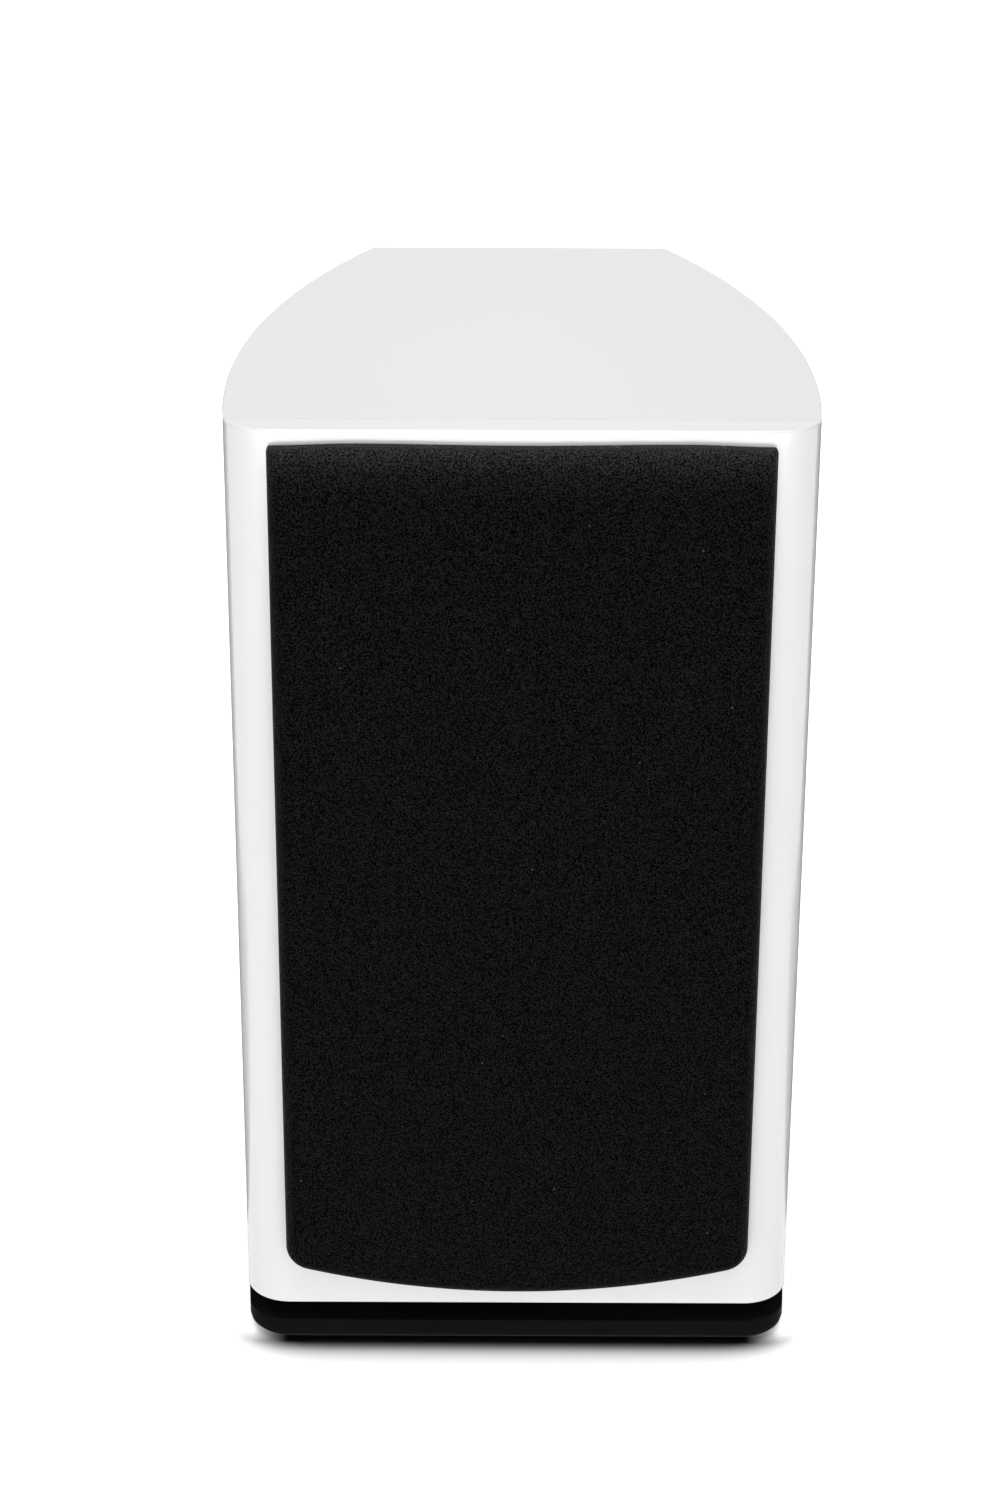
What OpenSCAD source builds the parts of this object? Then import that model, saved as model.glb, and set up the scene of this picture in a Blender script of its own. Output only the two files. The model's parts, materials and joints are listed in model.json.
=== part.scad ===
// Bookshelf speaker: a two-way bass-reflex loudspeaker in a curved, tapering cabinet.
// The woofer sits above the tweeter behind a push-on grille, and the port fires down
// into the slot between the cabinet and its plinth.
// Frame: +Z up, the grille faces -Y, and the origin is on the floor under the middle.
// Inside this file a "depth" runs backwards from the front face of the baffle.

/* [Cabinet] */
// Width of the cabinet at its widest place
body_w = 220; // [214:1:236]
// Height of the cabinet without its plinth
body_h = 361; // [356:1:400]
// Depth of the cabinet from baffle to rear panel
body_d = 274; // [268:1:290]
// Width of the cabinet at its back edge
rear_w = 126.6; // [122:0.2:136]
// Depth at which the sides are widest
widest_d = 64.5; // [58:0.5:72]
// Radius of the two upright front corners
corner_r = 17.5; // [8:0.5:18]
// Thickness of the front baffle
baffle_t = 14; // [14:0.5:18]
// Width of the groove at the joint behind the baffle
seam_w = 0.5; // [0.3:0.1:1]
// Thickness of the bent side panels
side_t = 15; // [12:0.5:16]
// Thickness of the top panel
top_t = 16; // [12:0.5:18]
// Thickness of the base panel
base_t = 16; // [14:0.5:18]
// Thickness of the rear panel
rear_t = 16; // [14:0.5:18]
// Thickness of the window brace
brace_t = 12; // [8:0.5:14]
// Width of the wood round the windows of the brace
brace_rim = 18; // [14:1:22]
// Thickness of the damping foam
foam_t = 22; // [15:1:30]

/* [Plinth] */
// Thickness of the plinth
plinth_t = 9; // [9:0.5:14]
// Rounding of the plinth's lower edge
plinth_edge = 3.5; // [1:0.5:4]
// Height of the slot between cabinet and plinth
gap_h = 8; // [6:0.5:12]
// How far the plinth stays inside the cabinet's outline
plinth_inset = 0.2; // [0.2:0.1:4]
// Height of the feet below the plinth
foot_h = 2; // [2:0.5:5]
// How deep the feet sit in the plinth
foot_sink = 1.5; // [1:0.5:3]
// Radius of a foot
foot_r = 9; // [7:0.5:11]
// Distance from the cabinet's outline to the middle of a foot
foot_edge = 17; // [15:1:22]
// Radius of a spacer
spacer_r = 10; // [9:0.5:12]
// Distance from the cabinet's outline to the middle of a spacer
spacer_edge = 40; // [38:1:44]
// Shank radius of a plinth bolt
bolt_r = 3; // [2.5:0.1:3]
// Head radius of a plinth bolt
bolt_head_r = 5; // [4.5:0.1:5.5]
// Head height of a plinth bolt
bolt_head_h = 3.5; // [3:0.5:4]
// How far a plinth bolt reaches into the base panel
bolt_grip = 11; // [8:0.5:12]

/* [Port] */
// Inner radius of the port tube
port_r = 23; // [18:0.5:25]
// Wall thickness of the port tube
port_wall = 2.5; // [2:0.5:3.5]
// Length of the port tube
port_l = 118; // [80:1:140]
// Radius of the port's flared mouth
port_flare = 9; // [6:0.5:10]
// Width of the flange outside the flared mouth
port_rim = 10; // [9.5:0.5:12]
// Thickness of the port's flange
port_flange_t = 4; // [3.5:0.5:5]
// Depth of the port's axis
port_d = 172; // [165:1:178]

/* [Grille] */
// Width of the grille
grille_w = 181.5; // [176:0.5:186]
// Thickness of the grille with its cloth
grille_t = 7.6; // [7:0.2:10]
// Gap between the grille and the baffle
grille_gap = 0.4; // [0.3:0.1:1]
// Distance from the top of the cabinet to the grille
grille_drop = 5.2; // [4:0.1:8]
// Distance from the bottom of the cabinet to the grille's lowest point
grille_rise = 8.6; // [8:0.1:16]
// Radius of the curved lower edge
belly_r = 345; // [300:5:500]
// Radius of the lower corners
grille_low_r = 10.5; // [6:0.5:12]
// Radius of the upper corners
grille_top_r = 2; // [1.5:0.5:6]
// Rounding of the front edge of the grille
grille_edge = 4; // [2:0.5:4]
// Thickness of the cloth
cloth_t = 0.8; // [0.6:0.1:1.2]
// Radius of the upper window of the frame
window_r = 80; // [78:0.5:81]
// Height of the straight bar over the upper window
top_bar = 18; // [16:0.5:19]
// Width of the frame beside the lower window
side_bar = 22; // [20:0.5:26]
// Height of the lower window
low_window_h = 130; // [110:1:134]
// Corner radius of the lower window
low_window_r = 4; // [2:0.5:8]
// Shank radius of a peg
peg_r = 3.5; // [3:0.1:4]
// Length of a peg behind the frame
peg_l = 9; // [7:0.5:9]
// Distance from the side of the grille to a peg
peg_edge = 11; // [10:0.5:12]
// Travel that takes the grille off its sockets
grille_travel = 45; // [30:1:80]

/* [Woofer] */
// Distance from the top of the cabinet to the woofer's axis
woofer_drop = 88.5; // [87:0.5:92]
// Outer radius of the trim ring
trim_r = 74; // [73:0.5:75]
// Height of the trim ring in front of the baffle
trim_h = 2.6; // [1.5:0.1:2.8]
// Outer radius of the basket's flange
flange_r = 72; // [70:0.5:72.5]
// Thickness of the basket's flange
flange_t = 4; // [3.5:0.5:5]
// Thickness of the gasket behind the flange
gasket_t = 1; // [0.5:0.1:1.5]
// Radius of the basket where it passes the baffle
throat_r = 62; // [60:0.5:62]
// Thickness of the basket's wall
basket_t = 2; // [1.5:0.1:2.5]
// Depth of the basket from its front to the magnet
basket_d = 44; // [43:0.5:50]
// Radius of the basket in front of the magnet
neck_r = 46; // [45:0.5:48]
// Number of spokes
spokes = 6; // [4:1:8]
// Radius of the cone with its outer lip
cone_r = 47.5; // [46:0.5:47.5]
// Depth of the cone's outer lip
cone_lip_d = 5; // [4.5:0.5:6]
// Depth of the cone's neck
cone_neck_d = 24; // [22:0.5:25]
// Thickness of the paper of the cone
cone_t = 0.8; // [0.6:0.1:1.2]
// Thickness of the rubber surround
surround_t = 0.8; // [0.6:0.1:1]
// Radius of the dust cap
cap_r = 17; // [15:0.5:19]
// Height of the dust cap
cap_h = 6; // [4:0.5:8]
// Inner radius of the voice-coil former
former_r = 12.6; // [12.6:0.1:13]
// Height of the coil's winding
coil_h = 11; // [10:0.5:12]
// Depth of the spider's outer lip
spider_d = 33; // [32:0.5:34]
// Thickness of the magnet's front plate
top_plate_t = 5; // [4:0.5:6]
// Radius of the front and back plates
plate_r = 42; // [40:0.5:44]
// Outer radius of the ring magnet
magnet_r = 45; // [44:0.5:48]
// Thickness of the ring magnet
magnet_t = 15; // [12:0.5:18]
// Thickness of the yoke's back plate
yoke_t = 5; // [4:0.5:6]
// Travel of the cone each way
cone_travel = 3; // [2:0.5:3]

/* [Tweeter] */
// Distance between the woofer's and the tweeter's axes
driver_pitch = 126; // [125:0.5:128]
// Radius of the faceplate
face_r = 48; // [46:0.5:48.5]
// Thickness of the faceplate
face_t = 4; // [4:0.5:5]
// Radius at which the faceplate's horn begins
horn_r = 31; // [26:0.5:34]
// Radius of the dome
dome_r = 12.7; // [12.5:0.1:12.9]
// Height of the dome
dome_h = 4; // [3:0.1:4]
// Thickness of the silk dome
dome_t = 0.3; // [0.3:0.1:0.5]
// Thickness of the tweeter's front plate
tweeter_plate_t = 3.5; // [3:0.5:4]
// Radius of the tweeter's magnet and plates
tweeter_magnet_r = 30; // [28:0.5:30]
// Thickness of the tweeter's magnet
tweeter_magnet_t = 7; // [6:0.5:9]
// Thickness of the tweeter's back plate
tweeter_yoke_t = 4; // [3:0.5:5]
// Length of the tweeter's rear chamber
cup_l = 17; // [12:0.5:20]
// Travel of the dome each way
dome_travel = 0.4; // [0.3:0.1:0.4]

/* [Crossover] */
// Width of the circuit board
board_w = 92; // [88:1:100]
// Depth of the circuit board
board_l = 94; // [90:1:96]
// Thickness of the circuit board
board_t = 1.6; // [1.6:0.2:2.4]
// Height of the posts under the circuit board
board_lift = 6; // [4:0.5:10]
// Gap between the baffle and the circuit board
board_gap = 12; // [10:1:14]
// Radius of the bass inductor
bass_coil_r = 20; // [17:0.5:20]
// Height of the bass inductor
bass_coil_h = 22; // [16:0.5:26]
// Radius of the treble inductor
treble_coil_r = 13; // [10:0.5:13]
// Height of the treble inductor
treble_coil_h = 16; // [12:0.5:20]
// Radius of a capacitor
capacitor_r = 8; // [7:0.5:8]
// Length of a capacitor
capacitor_l = 32; // [26:1:36]
// Distance from the board's back edge to the axis of the rear capacitor
capacitor_edge = 15; // [13:1:16]
// Distance between the capacitors' axes
capacitor_pitch = 18; // [17:0.5:20]
// Width and height of a resistor
resistor_w = 9; // [7:0.5:10]
// Length of a resistor
resistor_l = 22; // [16:1:24]
// Gap between a resistor and the capacitors' ends
resistor_gap = 3.5; // [2:0.5:4]
// Radius of an internal lead
lead_r = 1.2; // [1:0.1:1.5]
// Height to which the driver leads leave the board upright
lead_rise = 12; // [10:1:14]
// Spacing of the two leads to a driver where they leave the board
lead_pitch = 4; // [3.5:0.5:4.5]
// Distance of the woofer's leads from the middle of the board
woofer_lead_x = 36; // [34:1:38]
// Distance of the tweeter's leads from the board's front edge
tweeter_lead_d = 46; // [45:0.5:47]

/* [Terminals] */
// Width of the terminal plate
panel_w = 84; // [80:1:90]
// Height of the terminal plate
panel_h = 64; // [60:1:80]
// Thickness of the terminal plate
panel_t = 4; // [3:0.5:5]
// Height of the posts above the bottom of the cabinet
panel_rise = 88; // [80:1:110]
// Distance between the two binding posts
post_pitch = 38; // [34:1:40]
// Thread radius of a post
post_r = 3; // [3:0.1:3.4]
// Radius of the banana socket in a post
banana_r = 2; // [2:0.05:2.1]
// Depth of the banana socket
banana_l = 13; // [10:0.5:13]
// Radius of the collar at a post's foot
collar_r = 6.5; // [6:0.5:7]
// Thickness of the collar
collar_t = 3; // [2:0.5:4]
// Thickness of the loose clamping washer
washer_t = 1.5; // [1:0.1:2]
// Radius of a knob
knob_r = 7.5; // [7:0.5:9]
// Length of a knob
knob_l = 16; // [14:0.5:20]
// Travel of a knob when it is unscrewed
knob_travel = 5; // [4:0.5:6]

/* [Screws] */
// Shank radius of a wood screw
screw_r = 2; // [1.5:0.1:2]
// Head radius of a wood screw
screw_head_r = 3.6; // [3:0.1:3.7]
// Height of a screw's conical head
screw_head_h = 2; // [1.5:0.1:2.2]
// Length of a wood screw
screw_l = 12; // [10:0.5:12]

/* [Hidden] */

// Facets of a turned part and of a large arc
turn_fn = 96;
arc_fn = 256;
// Steps of a cabinet corner and of a curved profile
corner_n = 24;
profile_n = 12;
// Overshoot of a cut
eps = 1;
// Play of a part in the pocket, hole or rebate that takes it
fit = 0.3;
// Play of a shank in wood, of a thread and of parts that are glued to each other
pilot_play = 0.05;
thread_play = 0.1;
glue = 0.05;
// Running clearance in a magnet's gap
air_gap = 0.5;

// Heights of the floor-to-top stack
plinth_z = foot_h;
spacer_z = plinth_z + plinth_t;
body_z = spacer_z + gap_h;
top_z = body_z + body_h;
floor_z = body_z + base_t;
ceiling_z = top_z - top_t;
panel_z = body_z + panel_rise;

// Reach of the grille in front of the baffle and of the knobs behind the rear panel
grille_reach = grille_gap + grille_t;
panel_gasket_t = 1;
panel_face = body_d + panel_gasket_t + panel_t;
rear_reach = panel_face + collar_t + washer_t + knob_l - body_d;
// Place of the baffle's front face, so that the origin is under the middle
front_y = (grille_reach - body_d - rear_reach) / 2;

// Centre of the arcs of the right side, and of the right front corner
// each side is an arc through its widest place and its back edge
side_sag = (body_w - rear_w) / 2;
side_reach = body_d - widest_d;
side_r = (pow(side_reach, 2) + pow(side_sag, 2)) / (2 * side_sag);
side_cx = body_w / 2 - side_r;
corner_cx = side_cx + sqrt(pow(side_r - corner_r, 2) - pow(widest_d - corner_r, 2));
join_a = atan2(corner_r - widest_d, corner_cx - side_cx);

// Half width of the plan at a depth, with the outline moved inwards
function half_w(depth, inset) =
    side_cx + sqrt(pow(side_r - inset, 2) - pow(depth - widest_d, 2));
// Points on an arc from angle a0 to a1
function arc(cx, cy, r, a0, a1, n) =
    [for (i = [0:n]) let (a = a0 + (a1 - a0) * i / n) [cx + r * cos(a), cy + r * sin(a)]];
function mirrored(points) = [for (i = [len(points) - 1:-1:0]) [-points[i][0], points[i][1]]];
function backwards(points) = [for (i = [len(points) - 1:-1:0]) points[i]];
// Outline of a rectangle with rounded corners, about the origin
function round_rect(w, h, r) = concat(
    arc(w / 2 - r, h / 2 - r, r, 0, 90, 6), arc(r - w / 2, h / 2 - r, r, 90, 180, 6),
    arc(r - w / 2, r - h / 2, r, 180, 270, 6), arc(w / 2 - r, r - h / 2, r, 270, 360, 6)
);

// Places that repeat: [x, depth] on the base, [x, z] on the front or the rear
plinth_depths = [spacer_edge, body_d - spacer_edge];
bolt_places = [for (d = plinth_depths, s = [-1, 1]) [s * (half_w(d, 0) - spacer_edge), d]];
foot_depths = [foot_edge + corner_r, body_d - foot_edge - foot_r];
foot_places = [for (d = foot_depths, s = [-1, 1]) [s * (half_w(d, 0) - foot_edge), d]];

// Grille: top and bottom edges, middle of the belly's arc, windows and pegs
grille_top = top_z - grille_drop;
grille_low = body_z + grille_rise;
woofer_z = top_z - woofer_drop;
tweeter_z = woofer_z - driver_pitch;
window_top = grille_top - top_bar;
cross_bar = 9;
low_window_top = woofer_z - window_r - cross_bar;
low_window_w = grille_w - 2 * side_bar;
belly_cz = grille_low + belly_r;
peg_x = grille_w / 2 - peg_edge;
peg_heights = [grille_top - 25, low_window_top + 4, grille_low + 30];
peg_places = [for (z = peg_heights, s = [-1, 1]) [s * peg_x, z]];
socket_wall = 2;
socket_end = 1;
socket_r = peg_r + thread_play + socket_wall;
socket_l = peg_l - grille_gap + 2 * socket_end;
peg_root_r = peg_r - 1;
peg_root_l = 3;

// Woofer: radii and depths that follow from the sizes above
rim_r = throat_r + fit;
ledge_d = 2.5;
throat_l = 6;
lip_r = throat_r - 4;
landing_r = neck_r - basket_t - 7;
plate_bore = 30;
pad_drop = 2;
roll_out_r = lip_r - glue;
roll_in_r = cone_r - surround_t / 2;
roll_r = (roll_out_r - roll_in_r) / 2;
roll_cr = (roll_out_r + roll_in_r) / 2;
cone_in_r = cone_r - 3.5;
former_t = 0.3;
former_out = former_r + former_t;
wire_t = 0.5;
coil_r = former_out + wire_t;
coil_mid = basket_d + top_plate_t / 2;
former_end = coil_mid + coil_h / 2 + 1;
pole_r = former_r - 0.4;
woofer_screw_n = 6;
woofer_screw_r = (flange_r + rim_r) / 2;
hole_r = throat_r + 1;
strip_w = 18;
strip_t = 2;
strip_h = 8;
pad_z = woofer_z - neck_r - pad_drop;
strip_back = basket_d - basket_t;

// Tweeter: radii and depths
tweeter_gasket_t = 0.8;
tweeter_hole = 36;
silk_lip = 0.4;
dome_base_d = face_t + silk_lip;
tweeter_former_r = dome_r - 0.4;
tweeter_coil_r = dome_r + 0.3;
tweeter_plate_back = face_t + tweeter_plate_t;
tweeter_magnet_back = tweeter_plate_back + tweeter_magnet_t;
tweeter_back = tweeter_magnet_back + tweeter_yoke_t;
tweeter_screw_r = (face_r + tweeter_hole) / 2;
tweeter_screw_n = 4;
surround_out_r = dome_r + 3.2;
tag_l = 12;
tag_block_t = 3;

// Crossover: the board lies on posts on the base panel, behind the baffle
board_z = floor_z + board_lift;
board_top = board_z + board_t;
board_d = baffle_t + board_gap;
board_post_r = 3.5;
post_inset = 6;
board_posts_at = [for (x = [-1, 1], d = [post_inset, board_l - post_inset])
    [x * (board_w / 2 - post_inset), board_d + d]];
rear_capacitor_d = board_d + board_l - capacitor_edge;
capacitor_ds = [rear_capacitor_d, rear_capacitor_d - capacitor_pitch];

// Terminals: a stack of gasket, plate, collar, washer and knob behind the rear panel
post_sides = [-1, 1];
panel_cut_w = panel_w - 22;
panel_cut_h = panel_h - 22;
washer_r = collar_r - 0.5;
washer_d = panel_face + collar_t;
knob_d = washer_d + washer_t;
post_end = knob_d + knob_l - 2.5;
post_in_l = 12;
nut_t = 4;
nut_r = 5.5;
tag_t = 0.8;
tag_drop = 14;
nut_d = panel_face - panel_t - nut_t;
tag_d = nut_d - tag_t;

// ---------------------------------------------------------------- shared shapes

module at_front() {
    translate([0, front_y, 0]) children();
}

// A solid turned about the Y axis, from points [radius, depth]
module turned(points) {
    rotate([-90, 0, 0]) rotate_extrude($fn = turn_fn) polygon(points);
}

// A rod along +Y from one depth to another
module rod(r, from_d, to_d, sides = turn_fn) {
    translate([0, from_d, 0]) rotate([-90, 0, 0]) cylinder(r = r, h = to_d - from_d, $fn = sides);
}

module at_woofer() {
    translate([0, front_y, woofer_z]) children();
}

module at_tweeter() {
    translate([0, front_y, tweeter_z]) children();
}

// Copies at [x, z] places on the front or the rear
module at_places(places) {
    for (p = places) translate([p[0], 0, p[1]]) children();
}

// Plan of the cabinet between two depths, with its sides moved inwards
module plan(inset, from_d, to_d) {
    intersection() {
        translate([side_cx, widest_d]) circle(r = side_r - inset, $fn = arc_fn);
        translate([-side_cx, widest_d]) circle(r = side_r - inset, $fn = arc_fn);
        translate([-body_w, from_d]) square([2 * body_w, to_d - from_d]);
    }
}

// What rounding takes off the right front corner. The first and last chords of the arc run
// on past the outline, so that they cross it cleanly.
module corner_cut(inset) {
    points = arc(corner_cx, corner_r, corner_r - inset, -90, join_a, corner_n);
    first = 3 * points[0] - 2 * points[1];
    last = 3 * points[corner_n] - 2 * points[corner_n - 1];
    polygon(concat(
        [first], [for (i = [1:corner_n - 1]) points[i]], [last],
        [[2 * body_w, last[1]], [2 * body_w, -corner_r], [first[0], -corner_r]]
    ));
}

// The same plan with its rounded front corners, from the front face to a depth
module rounded_plan(inset, to_d) {
    difference() {
        plan(inset, inset, to_d);
        corner_cut(inset);
        mirror([1, 0]) corner_cut(inset);
    }
}

// Fine V-groove round the joint between the baffle and the rest of the cabinet
module seam_groove() {
    reach = seam_w / 2;
    at_front() {
        for (z = [body_z, top_z]) translate([-body_w, baffle_t, z]) rotate([90, 0, 90])
            linear_extrude(2 * body_w) circle(r = reach, $fn = 4);
        for (s = [-1, 1]) translate([s * half_w(baffle_t, 0), baffle_t, body_z - eps])
            linear_extrude(body_h + 2 * eps) circle(r = reach, $fn = 4);
    }
}

// A wood screw with its flat head up at z = 0 and a hexagon socket
module wood_screw() {
    difference() {
        rotate_extrude($fn = 32) polygon([
            [0, 0], [screw_head_r, 0], [screw_r, -screw_head_h],
            [screw_r, 2 - screw_l], [0, -screw_l]
        ]);
        translate([0, 0, -screw_head_h / 2])
            cylinder(r = screw_head_r * 0.4, h = eps + screw_head_h, $fn = 6);
    }
}

// The hole that a wood screw needs: clearance and countersink through a fitting, then a pilot hole
module screw_cut(through) {
    translate([0, 0, -through]) cylinder(r = screw_r + fit, h = through + eps, $fn = 32);
    translate([0, 0, -screw_head_h - fit])
        cylinder(r1 = screw_r, r2 = screw_head_r + fit / 2, h = screw_head_h + fit, $fn = 32);
}
module pilot_cut(to) {
    translate([0, 0, -to]) cylinder(r = screw_r + pilot_play, h = to + eps, $fn = 32);
}

// Children at each screw of the woofer, the tweeter, the terminal plate and the port,
// with +Z pointing the way the head looks
module woofer_screw_places() {
    for (i = [0:woofer_screw_n - 1]) at_woofer()
        rotate([0, 360 / woofer_screw_n * (i + 0.5), 0]) translate([woofer_screw_r, 0, 0])
            rotate([90, 0, 0]) children();
}
module tweeter_screw_places() {
    for (i = [0:tweeter_screw_n - 1]) at_tweeter()
        rotate([0, 360 / tweeter_screw_n * (i + 0.5), 0]) translate([tweeter_screw_r, 0, 0])
            rotate([90, 0, 0]) children();
}
panel_screw_inset = 6;
module panel_screw_places() {
    for (x = [-1, 1], z = [-1, 1]) translate([
        x * (panel_w / 2 - panel_screw_inset),
        front_y + panel_face,
        panel_z + z * (panel_h / 2 - panel_screw_inset)
    ]) rotate([-90, 0, 0]) children();
}
port_mouth_r = port_r + port_flare;
port_flange_r = port_mouth_r + port_rim;
module port_screw_places() {
    for (i = [0:3]) translate([0, front_y + port_d, body_z]) rotate([0, 0, 90 * i + 45])
        translate([port_mouth_r + port_rim / 2, 0, 0]) rotate([180, 0, 0]) children();
}

// A round lead swept along its own points, smoothed between them. Its end faces are square
// to its first and last stretch.
lead_sides = 8;
lead_steps = 3;
function unit(v) = v / norm(v);
function way(p, i) =
    i == 0 ? unit(p[1] - p[0])
    : i == len(p) - 1 ? unit(p[i] - p[i - 1])
    : unit(unit(p[i + 1] - p[i]) + unit(p[i] - p[i - 1]));
function smooth_point(p, i, t) =
    let (long = norm(p[i + 1] - p[i]))
    (2 * t - 3) * t * t * (p[i] - p[i + 1]) + p[i]
        + long * t * (1 - t) * ((1 - t) * way(p, i) - t * way(p, i + 1));
function smooth_path(p) = concat(
    [for (i = [0:len(p) - 2], s = [0:lead_steps - 1]) smooth_point(p, i, s / lead_steps)],
    [p[len(p) - 1]]
);
function lead_way(path, route, i) =
    i == 0 ? way(route, 0)
    : i == len(path) - 1 ? way(route, len(route) - 1)
    : unit(path[i + 1] - path[i - 1]);
function ring(path, route, i, r) =
    let (
        along = lead_way(path, route, i),
        u = unit(cross(along, [1, 0, 0])),
        v = cross(along, u)
    )
    [for (k = [0:lead_sides - 1])
        path[i] + r * (cos(360 * k / lead_sides) * u + sin(360 * k / lead_sides) * v)];
module lead(route, r) {
    path = smooth_path(route);
    last = len(path) - 1;
    n = lead_sides;
    polyhedron(
        points = [for (i = [0:last]) each ring(path, route, i, r)],
        faces = concat(
            [[for (k = [0:n - 1]) k]],
            [for (i = [0:last - 1], k = [0:n - 1]) [
                i * n + k, (i + 1) * n + k, (i + 1) * n + (k + 1) % n, i * n + (k + 1) % n
            ]],
            [[for (k = [n - 1:-1:0]) last * n + k]]
        ),
        convexity = 6
    );
}

// ---------------------------------------------------------------- cabinet

module front_baffle() {
    color("white") difference() {
        at_front() translate([0, 0, body_z]) linear_extrude(body_h) rounded_plan(0, baffle_t);
        seam_groove();
        at_woofer() {
            rod(hole_r, -eps, baffle_t + eps);
            rod(flange_r + fit, -eps, flange_t + gasket_t);
        }
        at_tweeter() {
            rod(tweeter_hole, -eps, baffle_t + eps);
            rod(face_r + fit, -eps, face_t + tweeter_gasket_t);
        }
        at_front() at_places(peg_places) rod(socket_r + thread_play, -eps, socket_l + pilot_play);
        woofer_screw_places() pilot_cut(screw_l + pilot_play);
        tweeter_screw_places() pilot_cut(screw_l + pilot_play);
    }
}

// One bent side panel, between the top and the base
module side_panel(side) {
    color("white") difference() {
        at_front() translate([0, 0, floor_z]) linear_extrude(ceiling_z - floor_z) intersection() {
            difference() {
                plan(0, baffle_t, body_d);
                plan(side_t, 0, body_d + eps);
            }
            translate([side > 0 ? 0 : -body_w, 0]) square([body_w, 2 * body_d]);
        }
        seam_groove();
    }
}

module top_panel() {
    color("white") difference() {
        at_front() translate([0, 0, ceiling_z]) linear_extrude(top_t) plan(0, baffle_t, body_d);
        seam_groove();
    }
}

module base_panel() {
    color("white") difference() {
        at_front() translate([0, 0, body_z]) linear_extrude(base_t) plan(0, baffle_t, body_d);
        seam_groove();
        translate([0, front_y + port_d, body_z - eps]) {
            cylinder(r = port_r + port_wall + fit, h = base_t + 2 * eps, $fn = turn_fn);
            cylinder(r = port_flange_r + fit, h = port_flange_t + eps, $fn = turn_fn);
            translate([0, 0, port_flange_t + eps])
                cylinder(r1 = port_mouth_r + fit, r2 = port_r + port_wall + fit,
                    h = port_flare - port_flange_t + port_wall, $fn = turn_fn);
        }
        for (p = bolt_places) translate([p[0], front_y + p[1], body_z - eps])
            cylinder(r = bolt_r + thread_play, h = bolt_grip + 2 * eps, $fn = 48);
        port_screw_places() pilot_cut(screw_l + pilot_play);
    }
}

module rear_panel() {
    color("white") difference() {
        at_front() translate([0, 0, floor_z])
            linear_extrude(ceiling_z - floor_z) plan(side_t, body_d - rear_t, body_d);
        translate([-panel_cut_w / 2, front_y + body_d - rear_t - eps, panel_z - panel_cut_h / 2])
            cube([panel_cut_w, rear_t + 2 * eps, panel_cut_h]);
        panel_screw_places() pilot_cut(screw_l + pilot_play);
    }
}

// A shelf between woofer and tweeter that stiffens the sides, open in the middle
brace_z = woofer_z - throat_r - 22;
module window_brace() {
    front_d = baffle_t;
    back_d = body_d - rear_t;
    bar_d = (front_d + back_d) / 2;
    color("burlywood") at_front() translate([0, 0, brace_z]) linear_extrude(brace_t) difference() {
        plan(side_t, front_d, back_d);
        plan(side_t + brace_rim, front_d + brace_rim, bar_d - brace_rim / 2);
        plan(side_t + brace_rim, bar_d + brace_rim / 2, back_d - brace_rim);
    }
}

// Foam behind the woofer and under the top panel, glued to the wood
foam_w = 84;
foam_gap = 12;
module damping_foam() {
    foam_low = brace_z + brace_t + foam_gap;
    back_d = body_d - rear_t;
    color("dimgray") at_front() {
        translate([-foam_w / 2, back_d - foam_t, foam_low])
            cube([foam_w, foam_t, ceiling_z - foam_low - foam_gap - foam_t]);
        translate([-foam_w / 2, back_d - 2 * foam_w, ceiling_z - foam_t])
            cube([foam_w, 2 * foam_w - foam_gap, foam_t]);
    }
}

module grille_sockets() {
    color("black") at_front() at_places(peg_places) difference() {
        rod(socket_r, 0, socket_l, 48);
        rod(peg_r + thread_play, -eps, socket_l - socket_end, 48);
    }
}

// ---------------------------------------------------------------- plinth and port

// A slice of the plinth up from the given height, moved inwards
module plinth_slice(inset, z, h) {
    at_front() translate([0, 0, plinth_z + z]) linear_extrude(h)
        rounded_plan(plinth_inset + inset, body_d - plinth_inset - inset);
}

// Board under the cabinet with a rounded lower edge
module plinth() {
    color("black") difference() {
        hull() {
            plinth_slice(0, plinth_edge, plinth_t - plinth_edge);
            for (a = [30, 60, 90]) plinth_slice(
                plinth_edge * (1 - cos(a)), plinth_edge * (1 - sin(a)), plinth_edge * sin(a)
            );
        }
        for (p = bolt_places) translate([p[0], front_y + p[1], plinth_z - eps]) {
            cylinder(r = bolt_r + fit, h = plinth_t + 2 * eps, $fn = 48);
            cylinder(r = bolt_head_r + fit, h = bolt_head_h + fit + eps, $fn = 48);
        }
        for (p = foot_places) translate([p[0], front_y + p[1], plinth_z - eps])
            cylinder(r = foot_r + fit, h = foot_sink + eps, $fn = 64);
    }
}

module plinth_spacers() {
    color("black") for (p = bolt_places) translate([p[0], front_y + p[1], spacer_z]) difference() {
        cylinder(r = spacer_r, h = gap_h, $fn = 64);
        translate([0, 0, -eps]) cylinder(r = bolt_r + fit, h = gap_h + 2 * eps, $fn = 48);
    }
}

// Socket-head bolts from below, through plinth and spacer into the base panel
module plinth_bolts() {
    head_z = plinth_z + fit;
    color("gray") for (p = bolt_places) translate([p[0], front_y + p[1], head_z]) difference() {
        union() {
            cylinder(r = bolt_head_r, h = bolt_head_h, $fn = 48);
            cylinder(r = bolt_r, h = body_z + bolt_grip - head_z, $fn = 48);
        }
        translate([0, 0, -eps]) cylinder(r = bolt_head_r / 2, h = eps + bolt_head_h / 2, $fn = 6);
    }
}

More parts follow.
